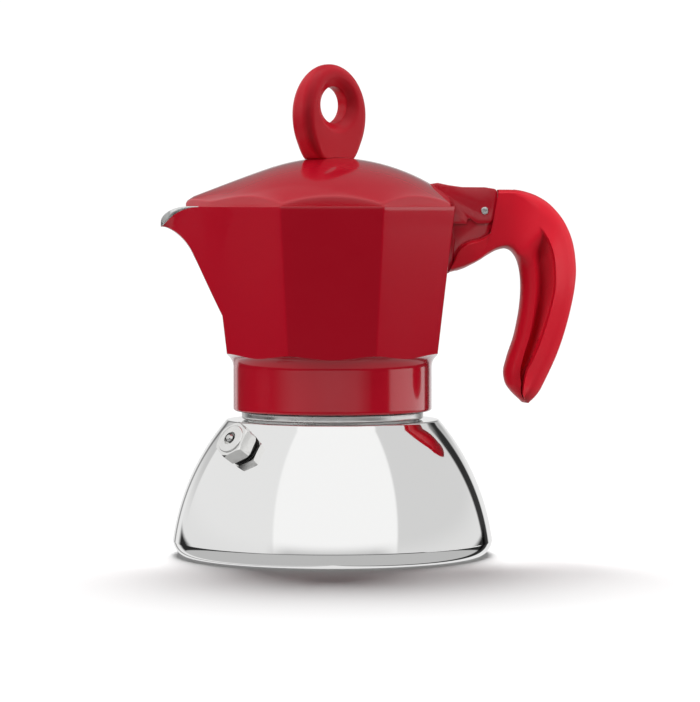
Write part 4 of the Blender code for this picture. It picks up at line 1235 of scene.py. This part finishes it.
def studio_world():
    """A light tent, set by direction: white to the camera, panels to mirrors, a faint glow to the rest."""
    world = bpy.data.worlds.new("studio")
    bpy.context.scene.world = world
    world.use_nodes = True
    tree = world.node_tree
    tree.nodes.clear()
    link, new = tree.links.new, tree.nodes.new
    split = new("ShaderNodeSeparateXYZ")
    link(new("ShaderNodeTexCoord").outputs["Generated"], split.inputs[0])
    x, y, z = split.outputs

    def value(operation, *given):
        return math_node(tree, operation, *given)

    def ramp(given, start, end, low=0.0, high=1.0):
        node = new("ShaderNodeMapRange")
        node.interpolation_type = "SMOOTHSTEP"
        link(given, node.inputs["Value"])
        for socket, number in zip(("From Min", "From Max", "To Min", "To Max"), (start, end, low, high)):
            node.inputs[socket].default_value = number
        return node.outputs[0]

    def times(*factors):
        product = factors[0]
        for factor in factors[1:]:
            product = value("MULTIPLY", product, factor)
        return product

    def between(given, start, end, soft):
        return times(ramp(given, start - soft, start + soft), ramp(given, end - soft, end + soft, 1.0, 0.0))

    ahead = value("MULTIPLY", y, -1.0)
    azimuth = value("ARCTAN2", x, ahead)
    beside = value("ABSOLUTE", azimuth)

    right_of = value("SUBTRACT", value("SUBTRACT", x, times(ahead, 0.986)), times(z, 0.413))
    left_of = value("SUBTRACT", value("SUBTRACT", times(x, -1.0), times(ahead, 0.866)), times(z, 0.274))
    panels = times(ramp(right_of, -0.03, 0.03, 1.0, 0.70), ramp(left_of, -0.03, 0.03, 1.0, 0.85))
    gaps = value("ADD", between(azimuth, 2.42, 2.66, 0.03), times(between(azimuth, -2.82, -2.73, 0.03), 0.7))
    gaps = times(gaps, ramp(z, 0.35, 0.55, 0.95, 0.0))
    overhead = times(ramp(y, 0.1, 0.35), ramp(value("ABSOLUTE", x), 0.25, 0.5, 0.58, 0.0))
    high = times(panels, value("SUBTRACT", 1.0, overhead))

    back = times(ramp(beside, 2.45, 2.6), 0.85)
    sides = times(ramp(beside, 0.5, 0.9), ramp(z, 0.012, 0.04), 0.8)
    behind = value("MAXIMUM", back, sides)
    sheet_front = times(ramp(azimuth, -1.4, -0.7), ramp(azimuth, 0.4, 0.9, 1.0, 0.0))
    sheet_right = between(azimuth, 1.22, 2.34, 0.05)
    both_sheets = value("ADD", times(sheet_front, 0.7), times(sheet_right, 1.4))
    sheets = times(both_sheets, between(z, -0.15, -0.022, 0.015))
    below = ramp(z, -0.34, -0.30, 0.5, 0.0)
    low = value("MAXIMUM", value("MAXIMUM", behind, sheets), value("ADD", below, 0.025))
    above = ramp(z, 0.05, 0.26)
    seen = value("ADD", times(high, above), times(low, value("SUBTRACT", 1.0, above)))
    seen = times(seen, value("SUBTRACT", 1.0, gaps))

    def background(strength):
        node = new("ShaderNodeBackground")
        node.inputs["Color"].default_value = (1.0, 1.0, 1.0, 1.0)
        if isinstance(strength, float):
            node.inputs["Strength"].default_value = strength
        else:
            link(strength, node.inputs["Strength"])
        return node.outputs[0]

    def choose(mask, first, second):
        mix = new("ShaderNodeMixShader")
        for socket, given in zip(mix.inputs, (mask, first, second)):
            link(given, socket)
        return mix.outputs[0]

    path = new("ShaderNodeLightPath")
    dim = choose(path.outputs["Is Glossy Ray"], background(0.12), background(seen))
    link(choose(path.outputs["Is Camera Ray"], dim, background(1.05)), new("ShaderNodeOutputWorld").inputs[0])


def floor():
    mesh = bpy.data.meshes.new("floor")
    half = 1.6
    corners = [(-half, -half, 0), (half, -half, 0), (half, half, 0), (-half, half, 0)]
    mesh.from_pydata(corners, [], [(0, 1, 2, 3)])
    piece = linked("floor", mesh)
    paint = Paint("floor_white", (0.85, 0.85, 0.85), 0.8, Specular_IOR_Level=0.0)
    mesh.materials.append(paint.material)
    piece.visible_glossy = False
    piece.visible_diffuse = False
    return piece


def soft_light(name, location, target, size, power):
    data = bpy.data.lights.new(name, "AREA")
    data.shape = "RECTANGLE"
    data.size, data.size_y = size
    data.energy = power
    lamp = linked(name, data)
    lamp.location = location
    lamp.rotation_euler = (Vector(target) - Vector(location)).to_track_quat("-Z", "Y").to_euler()
    lamp.visible_camera = False
    lamp.visible_glossy = False
    return lamp


def aimed(lamp, pieces, state="INCLUDE"):
    """Let a lamp light these pieces and nothing else, or everything else."""
    group = bpy.data.collections.new(lamp.name + "_pieces")
    for piece in pieces:
        group.objects.link(piece)
    for entry in group.collection_objects:
        entry.light_linking.link_state = state
    lamp.light_linking.receiver_collection = group


def camera():
    data = bpy.data.cameras.new("camera")
    data.lens = 184.6
    data.sensor_width = 36.0
    data.clip_end = 20.0
    eye = linked("camera", data)
    eye.location = (0.00536, -1.1016, 0.1085)
    aim = Vector((0.00536, 0.0, 0.0623))
    eye.rotation_euler = (aim - eye.location).to_track_quat("-Z", "Y").to_euler()
    bpy.context.scene.camera = eye


def studio(enamelled, moulded):
    studio_world()
    ground = floor()
    camera()
    top = soft_light("top_light", (0.0, -0.1, 1.2), (0, 0, 0), (1.0, 1.0), 10.0)
    left = soft_light("left_light", (-0.9, -0.08, 0.2), (0, 0, 0.08), (0.35, 0.6), 6.0)
    right = soft_light("right_light", (0.9, -0.08, 0.2), (0, 0, 0.08), (0.35, 0.6), 5.0)
    for lamp in (top, left, right):
        aimed(lamp, [ground], "EXCLUDE")
    aimed(soft_light("enamel_fill", (0.0, -1.5, 0.3), (0, 0, 0.08), (0.8, 0.6), 10.0), enamelled)
    aimed(soft_light("handle_left_light", (-0.75, -0.65, 0.05), (0.05, 0, 0.08), (0.25, 0.35), 8.5), moulded)
    aimed(soft_light("handle_right_light", (0.85, -0.45, 0.25), (0.05, 0, 0.08), (0.25, 0.35), 5.0), moulded)
    sky = linked("floor_light", bpy.data.lights.new("floor_light", "SUN"))
    sky.data.energy, sky.data.angle = 4.7, 0.62
    sky.rotation_euler = (math.radians(-40), 0, 0)
    sky.visible_glossy = False
    aimed(sky, [ground])
    bpy.context.scene.view_settings.view_transform = "Standard"


boiler_shell()
boiler_liner()
valve_body()
valve_small_parts()
valve_spring()
funnel_parts()
seal_and_filter()
jug_piece = collector_body()
column_parts()
lid_piece = lid()
hinge_pin()
knob()
knob_fixings()
handle_piece = handle()
handle_screw()
dress_frame()
studio([jug_piece, lid_piece], [handle_piece])

bpy.context.view_layer.update()
